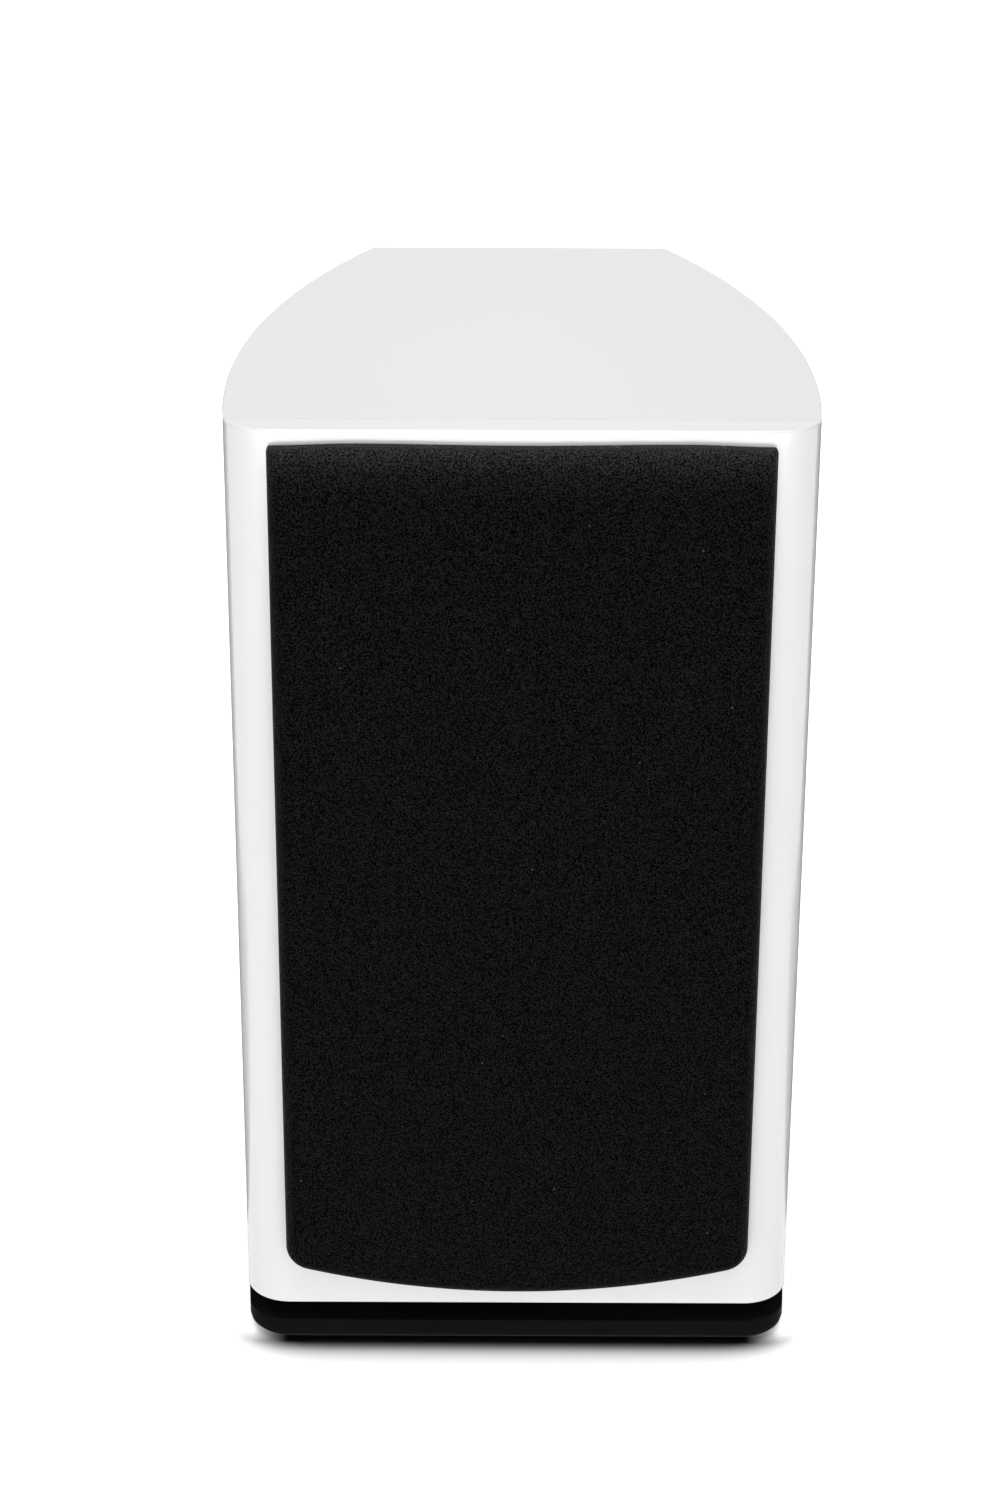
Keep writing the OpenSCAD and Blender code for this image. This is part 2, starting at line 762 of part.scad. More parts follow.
module rubber_feet() {
    color("darkslategray") for (p = foot_places) translate([p[0], front_y + p[1], 0])
        rotate_extrude($fn = 64) polygon([
            [0, 0], [foot_r - foot_h / 2, 0], [foot_r, foot_h / 2],
            [foot_r, foot_h + foot_sink], [0, foot_h + foot_sink]
        ]);
}

// Tube with a flange and a flared mouth at the bottom and a rolled inner end at the top
module port_tube() {
    mouth = arc(port_r + port_flare, port_flare, port_flare, 270, 180, profile_n);
    inner_end = arc(port_r + port_wall, port_l - port_wall, port_wall, 180, 0, profile_n);
    color("black") translate([0, front_y + port_d, body_z]) difference() {
        rotate_extrude($fn = turn_fn) polygon(concat(
            mouth, inner_end,
            [
                [port_r + 2 * port_wall, port_l - 2 * port_wall],
                [port_r + port_wall, port_l - 3 * port_wall],
                [port_r + port_wall, port_flare + port_wall],
                [port_mouth_r, port_flange_t],
                [port_flange_r, port_flange_t],
                [port_flange_r, 0]
            ]
        ));
        translate([0, -front_y - port_d, -body_z]) port_screw_places() screw_cut(port_flange_t + fit);
    }
}

module driver_screws() {
    color("black") {
        woofer_screw_places() translate([0, 0, -fit / 2]) wood_screw();
        tweeter_screw_places() translate([0, 0, -fit / 2]) wood_screw();
    }
}

module panel_screws() {
    color("black") {
        panel_screw_places() translate([0, 0, -fit / 2]) wood_screw();
        port_screw_places() translate([0, 0, -fit / 2]) wood_screw();
    }
}

// ---------------------------------------------------------------- woofer

module woofer_basket() {
    wall_in = throat_r - basket_t;
    color("dimgray") difference() {
        union() {
            at_woofer() turned([
                [flange_r, 0], [flange_r, flange_t], [throat_r, flange_t],
                [throat_r, flange_t + throat_l], [neck_r, spider_d], [neck_r, basket_d],
                [plate_bore, basket_d], [plate_bore, basket_d - basket_t],
                [neck_r - basket_t, basket_d - basket_t], [neck_r - basket_t, spider_d + basket_t],
                [landing_r, spider_d + basket_t], [landing_r, spider_d],
                [neck_r - basket_t, spider_d], [wall_in, flange_t + throat_l],
                [wall_in, ledge_d + basket_t], [lip_r, ledge_d + basket_t],
                [lip_r, ledge_d], [rim_r, ledge_d], [rim_r, 0]
            ]);
            // pad for the terminal strip, merged with the neck
            translate([-strip_w / 2, front_y + strip_back - strip_h, pad_z])
                cube([strip_w, strip_h, pad_drop + basket_t / 2 + 1]);
        }
        at_woofer() for (i = [0:spokes - 1]) rotate([0, 360 / spokes * i + 90, 0])
            basket_window(360 / spokes * 0.62);
        woofer_screw_places() screw_cut(flange_t + eps);
    }
}
// Wedge that opens the sloping wall between two spokes
module basket_window(angle) {
    reach = 2 * throat_r;
    from_d = flange_t + throat_l + basket_t;
    rotate([-90, 0, 0]) translate([0, 0, from_d]) linear_extrude(spider_d - basket_t - from_d)
        polygon([[0, 0], [reach, -reach * tan(angle / 2)], [reach, reach * tan(angle / 2)]]);
}

// A domed ring that hides the flange and its screws
module woofer_trim_ring() {
    trim_edge = 0.8;
    in_r = rim_r;
    color("silver") at_woofer() turned(concat(
        [for (i = [0:profile_n]) let (t = i / profile_n) [
            in_r + (trim_r - in_r) * t,
            -trim_edge - (trim_h - trim_edge) * sin(180 * t)
        ]],
        [[trim_r, 0], [in_r, 0]]
    ));
}

module woofer_gasket() {
    color("black") at_woofer() difference() {
        turned([
            [hole_r, flange_t], [flange_r - 1, flange_t],
            [flange_r - 1, flange_t + gasket_t], [hole_r, flange_t + gasket_t]
        ]);
        translate([0, -front_y, -woofer_z]) woofer_screw_places() pilot_cut(screw_l);
    }
}

// Depth of the cone's front face at a radius: a curve from lip to neck
function cone_depth(r) = cone_lip_d + (cone_neck_d - cone_lip_d)
    * pow((cone_in_r - r) / (cone_in_r - former_out), 1.15);
module woofer_cone() {
    neck = former_out + glue;
    front = [for (i = [0:profile_n]) let (r = cone_in_r + (neck - cone_in_r) * i / profile_n)
        [r, cone_depth(r)]];
    back = [for (p = backwards(front)) [p[0], p[1] + cone_t]];
    color("darkslategray") at_woofer() turned(concat(
        [[cone_r, cone_lip_d]], front, back, [[cone_r, cone_lip_d + cone_t]]
    ));
}

// Half-roll rubber surround: outer lip on the basket's ledge, inner lip on the cone's lip
module woofer_surround() {
    top_d = ledge_d - glue - surround_t;
    out_r = roll_r + surround_t / 2;
    in_r = roll_r - surround_t / 2;
    color("black") at_woofer() turned(concat(
        [[rim_r - glue, top_d]],
        arc(roll_cr, top_d, out_r, 360, 180, profile_n),
        [
            [roll_cr - out_r, cone_lip_d - glue - surround_t],
            [cone_in_r, cone_lip_d - glue - surround_t],
            [cone_in_r, cone_lip_d - glue],
            [roll_cr - in_r, cone_lip_d - glue]
        ],
        arc(roll_cr, top_d, in_r, 180, 360, profile_n),
        [[roll_cr + in_r, ledge_d - glue], [rim_r - glue, ledge_d - glue]]
    ));
}

module woofer_dust_cap() {
    base_d = cone_depth(cap_r) - cone_t / 4;
    cap_t = 0.6;
    ball = (cap_r * cap_r + cap_h * cap_h) / (2 * cap_h);
    edge_a = asin(cap_r / ball);
    outer = [for (i = [0:profile_n]) let (a = edge_a * i / profile_n)
        [ball * sin(a), base_d - cap_h + ball * (1 - cos(a))]];
    inner = [for (p = backwards(outer)) [p[0] * (1 - cap_t / ball), min(p[1] + cap_t, base_d)]];
    color("black") at_woofer() turned(concat(outer, inner));
}

module woofer_former() {
    color("goldenrod") at_woofer() turned([
        [former_r, cone_neck_d - 2], [former_out, cone_neck_d - 2],
        [former_out, former_end], [former_r, former_end]
    ]);
}

module woofer_voice_coil() {
    color("peru") at_woofer() turned([
        [former_out + glue / 2, coil_mid - coil_h / 2], [coil_r, coil_mid - coil_h / 2],
        [coil_r, coil_mid + coil_h / 2], [former_out + glue / 2, coil_mid + coil_h / 2]
    ]);
}

// Corrugated spider: outer lip on the basket's landing, inner collar round the former
spider_t = 0.6;
spider_sink = 4;
function spider_depth(r) =
    let (t = (landing_r - r) / (landing_r - former_out), wave = sin(180 * t))
    spider_d - glue - spider_t + spider_sink * t + 1.1 * wave * sin(360 * 4.5 * t);
module woofer_spider() {
    n = 4 * profile_n;
    in_r = former_out + glue;
    face = [for (i = [0:n]) let (r = landing_r + (in_r - landing_r) * i / n) [r, spider_depth(r)]];
    back = [for (p = backwards(face)) [p[0], p[1] + spider_t]];
    out_r = neck_r - basket_t - 1;
    color("khaki") at_woofer() turned(concat(
        [[out_r, spider_depth(landing_r)]], face, back, [[out_r, spider_depth(landing_r) + spider_t]]
    ));
}

module woofer_top_plate() {
    color("silver") at_woofer() turned([
        [coil_r + air_gap, basket_d], [plate_r, basket_d],
        [plate_r, basket_d + top_plate_t], [coil_r + air_gap, basket_d + top_plate_t]
    ]);
}

module woofer_magnet() {
    from_d = basket_d + top_plate_t;
    color("dimgray") at_woofer() turned([
        [magnet_r / 2, from_d], [magnet_r, from_d],
        [magnet_r, from_d + magnet_t], [magnet_r / 2, from_d + magnet_t]
    ]);
}

// Back plate and pole in one piece, with a vent through the pole
vent_r = 4;
module woofer_yoke() {
    from_d = basket_d + top_plate_t + magnet_t;
    color("silver") at_woofer() turned([
        [vent_r, basket_d], [pole_r, basket_d], [pole_r, from_d],
        [plate_r, from_d], [plate_r, from_d + yoke_t], [vent_r, from_d + yoke_t]
    ]);
}

// Insulating strip under the pad of the basket, with two tags that point backwards
module woofer_terminal_strip() {
    tag_x = strip_w / 2 - 4;
    color("sienna") translate([-strip_w / 2, front_y + strip_back - strip_h, pad_z - strip_t])
        cube([strip_w, strip_h, strip_t]);
    color("gold") for (s = [-1, 1])
        translate([s * tag_x - 1.5, front_y + strip_back, pad_z - strip_t])
            cube([3, strip_h - 2, tag_t]);
}

// Two braided leads from the strip through a window of the basket to the back of the cone
tinsel_r = 0.6;
module woofer_tinsel_leads() {
    end_r = (cone_in_r + cap_r) / 2;
    strip_front = strip_back - strip_h;
    end_d = cone_depth(end_r) + cone_t + tinsel_r + fit;
    color("peru") at_front() for (s = [-1, 1]) lead([
        [5 * s, strip_front, pad_z - strip_t / 2],
        [5 * s, strip_front - 4, pad_z - strip_t / 2],
        [5 * s, (strip_front + end_d) / 2 - 1, woofer_z - neck_r + 1],
        [5 * s, end_d + 4, woofer_z - end_r - 4],
        [5 * s, end_d, woofer_z - end_r]
    ], tinsel_r);
}

// ---------------------------------------------------------------- tweeter

// Round plate with a shallow horn round the dome
module tweeter_faceplate() {
    edge = 0.6;
    throat = surround_out_r + 0.5;
    throat_d = face_t - 0.8;
    horn = [for (i = [0:profile_n]) let (t = i / profile_n)
        [horn_r + (throat - horn_r) * t, throat_d * pow(t, 1.6)]];
    color("black") difference() {
        at_tweeter() turned(concat(
            [[face_r, face_t], [face_r, edge], [face_r - edge, 0]],
            horn, [[throat, face_t]]
        ));
        tweeter_screw_places() screw_cut(face_t + eps);
    }
}

module tweeter_gasket() {
    color("black") difference() {
        at_tweeter() turned([
            [tweeter_hole, face_t], [face_r - 0.5, face_t],
            [face_r - 0.5, face_t + tweeter_gasket_t], [tweeter_hole, face_t + tweeter_gasket_t]
        ]);
        tweeter_screw_places() pilot_cut(screw_l);
    }
}

module tweeter_dome() {
    ball = (dome_r * dome_r + dome_h * dome_h) / (2 * dome_h);
    edge_a = asin(dome_r / ball);
    outer = [for (i = [0:profile_n]) let (a = edge_a * i / profile_n)
        [ball * sin(a), dome_base_d - dome_h + ball * (1 - cos(a))]];
    inner = [for (p = backwards(outer)) [p[0] * (1 - dome_t / ball), min(p[1] + dome_t, dome_base_d)]];
    color("black") at_tweeter() turned(concat(outer, inner));
}

// Half-roll of silk, clamped between faceplate and front plate
module tweeter_surround() {
    in_r = dome_r + glue;
    mid = (in_r + surround_out_r) / 2;
    half = (surround_out_r - in_r) / 2;
    lip_d = face_t + glue;
    silk = silk_lip - 2 * glue;
    color("black") at_tweeter() turned(concat(
        [[surround_out_r + 3, lip_d]],
        arc(mid, lip_d, half, 360, 180, profile_n),
        [[in_r, lip_d + silk], [in_r + silk, lip_d + silk]],
        arc(mid, lip_d + silk, half - silk, 180, 360, profile_n),
        [[surround_out_r + 3, lip_d + silk]]
    ));
}

// Former and winding under the rim of the dome
module tweeter_voice_coil() {
    from_d = dome_base_d + glue;
    to_d = tweeter_plate_back + 0.7;
    winding_d = from_d + 0.8;
    color("peru") at_tweeter() turned([
        [tweeter_former_r, from_d], [dome_r, from_d], [dome_r, winding_d],
        [tweeter_coil_r, winding_d], [tweeter_coil_r, to_d], [tweeter_former_r, to_d]
    ]);
}

module tweeter_top_plate() {
    clamp_r = surround_out_r + 3 + fit;
    bore = tweeter_coil_r + air_gap;
    color("silver") at_tweeter() turned([
        [bore, face_t + silk_lip], [clamp_r, face_t + silk_lip], [clamp_r, face_t],
        [tweeter_magnet_r, face_t], [tweeter_magnet_r, tweeter_plate_back], [bore, tweeter_plate_back]
    ]);
}

module tweeter_magnet() {
    color("dimgray") at_tweeter() turned([
        [tweeter_magnet_r / 2 + 2, tweeter_plate_back], [tweeter_magnet_r, tweeter_plate_back],
        [tweeter_magnet_r, tweeter_magnet_back], [tweeter_magnet_r / 2 + 2, tweeter_magnet_back]
    ]);
}

module tweeter_yoke() {
    pole = tweeter_former_r - air_gap;
    pole_d = dome_base_d + dome_travel + 0.4;
    color("silver") at_tweeter() turned([
        [vent_r, pole_d], [pole, pole_d], [pole, tweeter_magnet_back],
        [tweeter_magnet_r, tweeter_magnet_back], [tweeter_magnet_r, tweeter_back], [vent_r, tweeter_back]
    ]);
}

// Closed chamber behind the vented pole
module tweeter_rear_cup() {
    cup_r = tweeter_magnet_r - 1;
    wall = 2;
    color("black") at_tweeter() turned([
        [cup_r - wall, tweeter_back], [cup_r, tweeter_back], [cup_r, tweeter_back + cup_l],
        [0, tweeter_back + cup_l], [0, tweeter_back + cup_l - wall],
        [cup_r - wall, tweeter_back + cup_l - wall]
    ]);
}

// Block under the front plate with two tags that point backwards
module tweeter_terminals() {
    block_w = 16;
    block_l = tweeter_plate_t - 0.5;
    block_z = tweeter_z - tweeter_magnet_r - tag_block_t;
    color("sienna") at_front() difference() {
        translate([-block_w / 2, face_t, block_z]) cube([block_w, block_l, 2 * tag_block_t]);
        translate([0, 0, tweeter_z]) rod(tweeter_magnet_r, 0, baffle_t);
    }
    color("gold") at_front() for (s = [-1, 1])
        translate([s * block_w / 4 - 1.5, face_t + block_l, block_z]) cube([3, tag_l, tag_t]);
}

// ---------------------------------------------------------------- crossover

module crossover_board() {
    color("darkgreen") at_front() difference() {
        translate([-board_w / 2, board_d, board_z]) cube([board_w, board_l, board_t]);
        for (p = board_posts_at) translate([p[0], p[1], board_z - eps])
            cylinder(r = 1.6, h = board_t + 2 * eps, $fn = 32);
    }
}

// Plastic posts with a pin through the board and a button on top
module board_posts() {
    color("white") at_front() for (p = board_posts_at) translate([p[0], p[1], floor_z]) {
        rotate_extrude($fn = 32) polygon([
            [0, 0], [board_post_r, 0], [board_post_r, board_lift], [1.4, board_lift],
            [1.4, board_lift + board_t], [2.4, board_lift + board_t + 0.2],
            [1.4, board_lift + board_t + 2], [0, board_lift + board_t + 2]
        ]);
    }
}

// A coil of wire on a bobbin, standing on the board
module bobbin(r, h) {
    flange = 1.5;
    rotate_extrude($fn = 48) polygon([
        [r * 0.35, 0], [r, 0], [r, flange], [r - 1, flange], [r - 1, h - flange],
        [r, h - flange], [r, h], [r * 0.35, h]
    ]);
}
bass_at = [-board_w / 4 - 1, board_d + bass_coil_r + 10];
treble_at = [board_w / 4, board_d + treble_coil_r + 12];
module bass_inductor() {
    color("peru") at_front() translate([bass_at[0], bass_at[1], board_top])
        bobbin(bass_coil_r, bass_coil_h);
}
module treble_inductor() {
    color("peru") at_front() translate([treble_at[0], treble_at[1], board_top])
        bobbin(treble_coil_r, treble_coil_h);
}

// Film capacitors lying on the board
module capacitors() {
    color("goldenrod") at_front() for (d = capacitor_ds)
        translate([-capacitor_l / 2, d, board_top + capacitor_r]) rotate([0, 90, 0])
            cylinder(r = capacitor_r, h = capacitor_l, $fn = 48);
}

// Ceramic resistors beside the capacitors
module resistors() {
    out_x = capacitor_l / 2 + resistor_gap + resistor_w / 2;
    from_d = rear_capacitor_d - resistor_l;
    color("beige") at_front() for (s = [-1, 1])
        translate([s * out_x - resistor_w / 2, from_d, board_top])
            cube([resistor_w, resistor_l, resistor_w]);
}

// ---------------------------------------------------------------- terminals

module terminal_plate() {
    pocket_d = 1;
    rim = 12;
    color("black") difference() {
        translate([0, front_y + panel_face, panel_z]) rotate([90, 0, 0])
            linear_extrude(panel_t) polygon(round_rect(panel_w, panel_h, 6));
        translate([0, front_y + panel_face + eps, panel_z]) rotate([90, 0, 0])
            linear_extrude(pocket_d + eps) difference() {
                polygon(round_rect(panel_w - 2 * rim, panel_h - 2 * rim + 10, 5));
                for (s = post_sides) translate([s * post_pitch / 2, 0]) circle(r = collar_r + 2, $fn = 64);
            }
        for (s = post_sides) translate([s * post_pitch / 2, front_y, panel_z])
            rod(post_r + thread_play, panel_face - panel_t - eps, panel_face + eps);
        panel_screw_places() screw_cut(panel_t + eps);
    }
}

module terminal_gasket() {
    inset = 1;
    color("black") difference() {
        translate([0, front_y + body_d + panel_gasket_t, panel_z]) rotate([90, 0, 0])
            linear_extrude(panel_gasket_t) difference() {
                polygon(round_rect(panel_w - 2 * inset, panel_h - 2 * inset, 5));
                square([panel_cut_w, panel_cut_h], center = true);
            }
        panel_screw_places() pilot_cut(screw_l);
    }
}

// Threaded posts with a collar on the plate and a banana socket in the end
module binding_posts() {
    color("gold") for (s = post_sides) translate([s * post_pitch / 2, front_y, panel_z]) difference() {
        union() {
            rod(post_r, panel_face - panel_t - post_in_l, post_end);
            rod(collar_r, panel_face, panel_face + collar_t);
        }
        rod(banana_r, post_end - banana_l, post_end + eps);
    }
}

module post_nuts() {
    color("gold") for (s = post_sides) translate([s * post_pitch / 2, front_y, panel_z]) difference() {
        rod(nut_r, nut_d, nut_d + nut_t, 6);
        rod(post_r + thread_play, nut_d - eps, nut_d + nut_t + eps);
    }
}

// Ring tags under the lead ends, in front of the nuts
module solder_tags() {
    color("silver") for (s = post_sides) translate([s * post_pitch / 2, front_y, panel_z]) difference() {
        union() {
            rod(nut_r - 0.5, tag_d, tag_d + tag_t, 48);
            translate([-2.5, tag_d, -tag_drop]) cube([5, tag_t, tag_drop]);
        }
        rod(post_r + thread_play, tag_d - eps, tag_d + tag_t + eps);
    }
}

module washer(side) {
    color("gold") translate([side * post_pitch / 2, front_y, panel_z]) difference() {
        rod(washer_r, washer_d, washer_d + washer_t);
        rod(post_r + thread_play, washer_d - eps, washer_d + washer_t + eps);
    }
}

// Fluted knob on the thread, with an opening in its end for a banana plug
module knob(side, shade) {
    flutes = 16;
    flute_r = 1;
    opening_r = banana_r + 0.6;
    color(shade) translate([side * post_pitch / 2, front_y, panel_z]) difference() {
        turned([
            [post_r + thread_play, knob_d], [knob_r - 0.8, knob_d], [knob_r - 0.8, knob_d + 2],
            [knob_r, knob_d + 2.6], [knob_r, knob_d + knob_l - 1], [knob_r - 1, knob_d + knob_l],
            [opening_r, knob_d + knob_l], [opening_r, post_end + fit],
            [post_r + thread_play, post_end + fit]
        ]);
        for (i = [0:flutes - 1]) rotate([0, 360 / flutes * i, 0]) translate([knob_r + flute_r / 2, 0, 0])
            rod(flute_r, knob_d + 2, knob_d + knob_l + eps, 16);
    }
}

// ---------------------------------------------------------------- grille

// Outline of the grille, moved inwards: flat top, small upper corners, belly at the bottom
function grille_half(inset) =
    let (
        x = grille_w / 2 - inset,
        low_r = grille_low_r - inset,
        top_r = max(grille_top_r - inset, 0.2),
        belly = belly_r - inset,
        low_x = x - low_r,
        low_z = belly_cz - sqrt(pow(belly - low_r, 2) - pow(low_x, 2)),
        low_a = atan2(low_z - belly_cz, low_x)
    )
    concat(
        [for (p = arc(0, belly_cz, belly, -90, low_a, profile_n)) if (p[0] > 0) p],
        arc(low_x, low_z, low_r, low_a + 6, 0, 8),
        arc(x - top_r, grille_top - inset - top_r, top_r, 0, 90, 4)
    );
function grille_outline(inset) = concat(grille_half(inset), mirrored(grille_half(inset)));

// A slice of the grille between two distances in front of the baffle
module grille_slice(inset, from_d, to_d) {
    translate([0, -from_d, 0]) rotate([90, 0, 0]) linear_extrude(to_d - from_d)
        polygon(grille_outline(inset));
}

// The grille's body with a rounded front edge
module grille_body(inset, back, front) {
    round = grille_edge;
    at_front() hull() {
        grille_slice(inset, back, front - round);
        for (a = [30, 60, 90]) grille_slice(
            inset + round * (1 - cos(a)), front - round, front - round * (1 - sin(a))
        );
    }
}

module grille_frame() {
    front = grille_reach - cloth_t;
    relief_r = trim_r + 2;
    relief_d = trim_h + 0.6;
    color("black") difference() {
        grille_body(cloth_t, grille_gap, front);
        // upper window, cut straight by the top bar
        intersection() {
            at_woofer() rod(window_r, -front - eps, eps);
            translate([-grille_w / 2, front_y - front - eps, 0])
                cube([grille_w, front + 2 * eps, window_top]);
        }
        translate([0, front_y + eps, low_window_top - low_window_h / 2]) rotate([90, 0, 0])
            linear_extrude(front + 2 * eps) polygon(round_rect(low_window_w, low_window_h, low_window_r));
        // room for the trim ring behind the top bar
        at_woofer() rod(relief_r, -relief_d, eps);
        at_front() at_places(peg_places)
            rod(peg_root_r + pilot_play, -grille_gap - peg_root_l, eps, 48);
    }
}

module grille_cloth() {
    color("black") difference() {
        grille_body(0, grille_gap, grille_reach);
        grille_body(cloth_t, -eps, grille_reach - cloth_t);
    }
}

module grille_pegs() {
    color("black") at_front() at_places(peg_places) turned([
        [0, -grille_gap - peg_root_l], [peg_root_r, -grille_gap - peg_root_l],
        [peg_root_r, -grille_gap], [peg_r, -grille_gap],
        [peg_r, peg_l - grille_gap - 1], [peg_r - 1, peg_l - grille_gap], [0, peg_l - grille_gap]
    ]);
}

// ---------------------------------------------------------------- leads

module driver_leads() {
    strip_low = pad_z - strip_t;
    tweeter_low = tweeter_z - tweeter_magnet_r - tag_block_t;
    tweeter_tag_d = face_t + tweeter_plate_t - 0.5 + tag_l;
    behind_cup = tweeter_back + cup_l + 16;
    woofer_start = rear_capacitor_d - capacitor_pitch / 2;
    apart = lead_pitch / 2;
    color("red") at_front() for (s = [-1, 1]) {
        // to the woofer, behind the tweeter and through the brace
        lead([
            [apart * s - woofer_lead_x, woofer_start, board_top],
            [apart * s - woofer_lead_x, woofer_start, board_top + lead_rise],
            [apart * s - woofer_lead_x + 10, behind_cup + 6, tweeter_z - 50],
            [-12 + 2.5 * s, behind_cup, tweeter_z + 10],
            [5 * s, strip_back - 2, strip_low - 26],
            [5 * s, strip_back + 3, strip_low - 10],
            [5 * s, strip_back + 3, strip_low]
        ], lead_r);
        // to the tweeter
        lead([
            [7 + apart * s, board_d + tweeter_lead_d, board_top],
            [7 + apart * s, board_d + tweeter_lead_d, board_top + lead_rise],
            [6 + 2.5 * s, tweeter_tag_d + 12, tweeter_low - 28],
            [4 * s, tweeter_tag_d - lead_r - fit, tweeter_low - 10],
            [4 * s, tweeter_tag_d - lead_r - fit, tweeter_low]
        ], lead_r);
    }
}

// A lead from each solder tag, round the port tube to the back of the board
module input_leads() {
    tag_low = panel_z - tag_drop;
    clear_x = port_r + 2 * port_wall + 14;
    color("red") at_front() for (s = post_sides) lead([
        [s * post_pitch / 2, tag_d, tag_low + 3],
        [s * post_pitch / 2, tag_d - 10, tag_low + 3],
        [s * (clear_x + 2), port_d + port_r + 8, tag_low - 8],
        [s * (clear_x + 4), port_d, tag_low - 22],
        [s * 36, board_d + board_l + 4, board_top + 26],
        [s * 28, board_d + board_l - 9, board_top + 12],
        [s * 28, board_d + board_l - 9, board_top]
    ], lead_r);
}

front_baffle();
side_panel(-1);  // side_panel_left
side_panel(1);  // side_panel_right
top_panel();
base_panel();
rear_panel();
window_brace();
damping_foam();
grille_sockets();
plinth();
plinth_spacers();
plinth_bolts();
rubber_feet();
port_tube();
driver_screws();
panel_screws();
woofer_basket();
woofer_trim_ring();
woofer_gasket();
woofer_cone();
woofer_surround();
woofer_dust_cap();
woofer_former();
woofer_voice_coil();
woofer_spider();
woofer_top_plate();
woofer_magnet();
woofer_yoke();
woofer_terminal_strip();
woofer_tinsel_leads();
tweeter_faceplate();
tweeter_gasket();
tweeter_dome();
tweeter_surround();
tweeter_voice_coil();
tweeter_top_plate();
tweeter_magnet();
tweeter_yoke();
tweeter_rear_cup();
tweeter_terminals();
crossover_board();
board_posts();
bass_inductor();
treble_inductor();
capacitors();
resistors();
terminal_plate();
terminal_gasket();
binding_posts();
post_nuts();
solder_tags();
washer(-1);  // washer_positive
washer(1);  // washer_negative
knob(-1, "red");  // knob_positive
knob(1, "black");  // knob_negative
grille_frame();
grille_cloth();
grille_pegs();
driver_leads();
input_leads();
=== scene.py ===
import json
import math

import bmesh
import bpy
from mathutils import Matrix, Vector


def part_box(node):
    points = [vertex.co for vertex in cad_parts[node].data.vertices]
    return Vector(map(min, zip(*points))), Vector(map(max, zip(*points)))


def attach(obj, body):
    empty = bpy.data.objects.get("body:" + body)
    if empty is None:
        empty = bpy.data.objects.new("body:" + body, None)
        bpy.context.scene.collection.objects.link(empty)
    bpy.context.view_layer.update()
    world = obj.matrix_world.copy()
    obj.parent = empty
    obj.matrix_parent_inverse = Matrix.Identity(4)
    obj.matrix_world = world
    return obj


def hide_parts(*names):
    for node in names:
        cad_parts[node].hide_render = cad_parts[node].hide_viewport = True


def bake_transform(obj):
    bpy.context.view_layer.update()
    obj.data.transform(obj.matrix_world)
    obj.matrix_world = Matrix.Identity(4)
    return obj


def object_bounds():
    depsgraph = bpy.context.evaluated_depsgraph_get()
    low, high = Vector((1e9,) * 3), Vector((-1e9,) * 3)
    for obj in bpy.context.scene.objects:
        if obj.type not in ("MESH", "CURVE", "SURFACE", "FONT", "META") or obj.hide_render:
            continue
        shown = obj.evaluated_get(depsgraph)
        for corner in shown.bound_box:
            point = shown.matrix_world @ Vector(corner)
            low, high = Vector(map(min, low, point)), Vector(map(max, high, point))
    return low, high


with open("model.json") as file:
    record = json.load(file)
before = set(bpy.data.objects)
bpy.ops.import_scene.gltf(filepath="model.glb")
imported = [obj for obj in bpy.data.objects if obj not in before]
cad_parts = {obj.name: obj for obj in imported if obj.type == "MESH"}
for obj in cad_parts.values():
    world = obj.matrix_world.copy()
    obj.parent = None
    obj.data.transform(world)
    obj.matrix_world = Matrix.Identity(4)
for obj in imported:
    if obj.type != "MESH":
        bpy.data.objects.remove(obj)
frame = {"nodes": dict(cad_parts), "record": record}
cad_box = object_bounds()
nodes = frame["nodes"]

MM = 0.001
# depth of the joint between the front baffle and the rest of the cabinet, behind the front
JOINT = 0.014
# the grille: radii of its bulging lower edge, its lower and upper corners and the cloth's rim
BELLY, LOW_R, TOP_R, RIM = 0.345, 0.0105, 0.0012, 0.004
SLOT_OF = {s["node"]: s["material_slot"] for s in frame["record"]["subparts"]}


def middle_z(name):
    low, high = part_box(name)
    return (low.z + high.z) / 2


front_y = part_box("front_baffle")[0].y
half_width = cad_box[1][0]
woofer_z = middle_z("woofer_trim_ring")
tweeter_z = middle_z("tweeter_faceplate")


def link(name, data):
    obj = bpy.data.objects.new(name, data)
    bpy.context.scene.collection.objects.link(obj)
    return obj


# ------------------------------------------------------------------ camera

def make_camera():
    data = bpy.data.cameras.new("camera")
    data.sensor_width = 36
    data.lens = 75.6
    data.clip_start = 0.01
    place = (-0.00734, -1.21905, 0.7038)
    yaw, down, roll = (math.radians(a) for a in (0.006, 90 - 22.58, 0.226))
    turn = Matrix.Rotation(yaw, 4, "Z") @ Matrix.Rotation(down, 4, "X") @ Matrix.Rotation(roll, 4, "Z")
    cam = link("camera", data)
    cam.matrix_world = Matrix.Translation(place) @ turn
    bpy.context.scene.camera = cam


# ------------------------------------------------------------------ materials

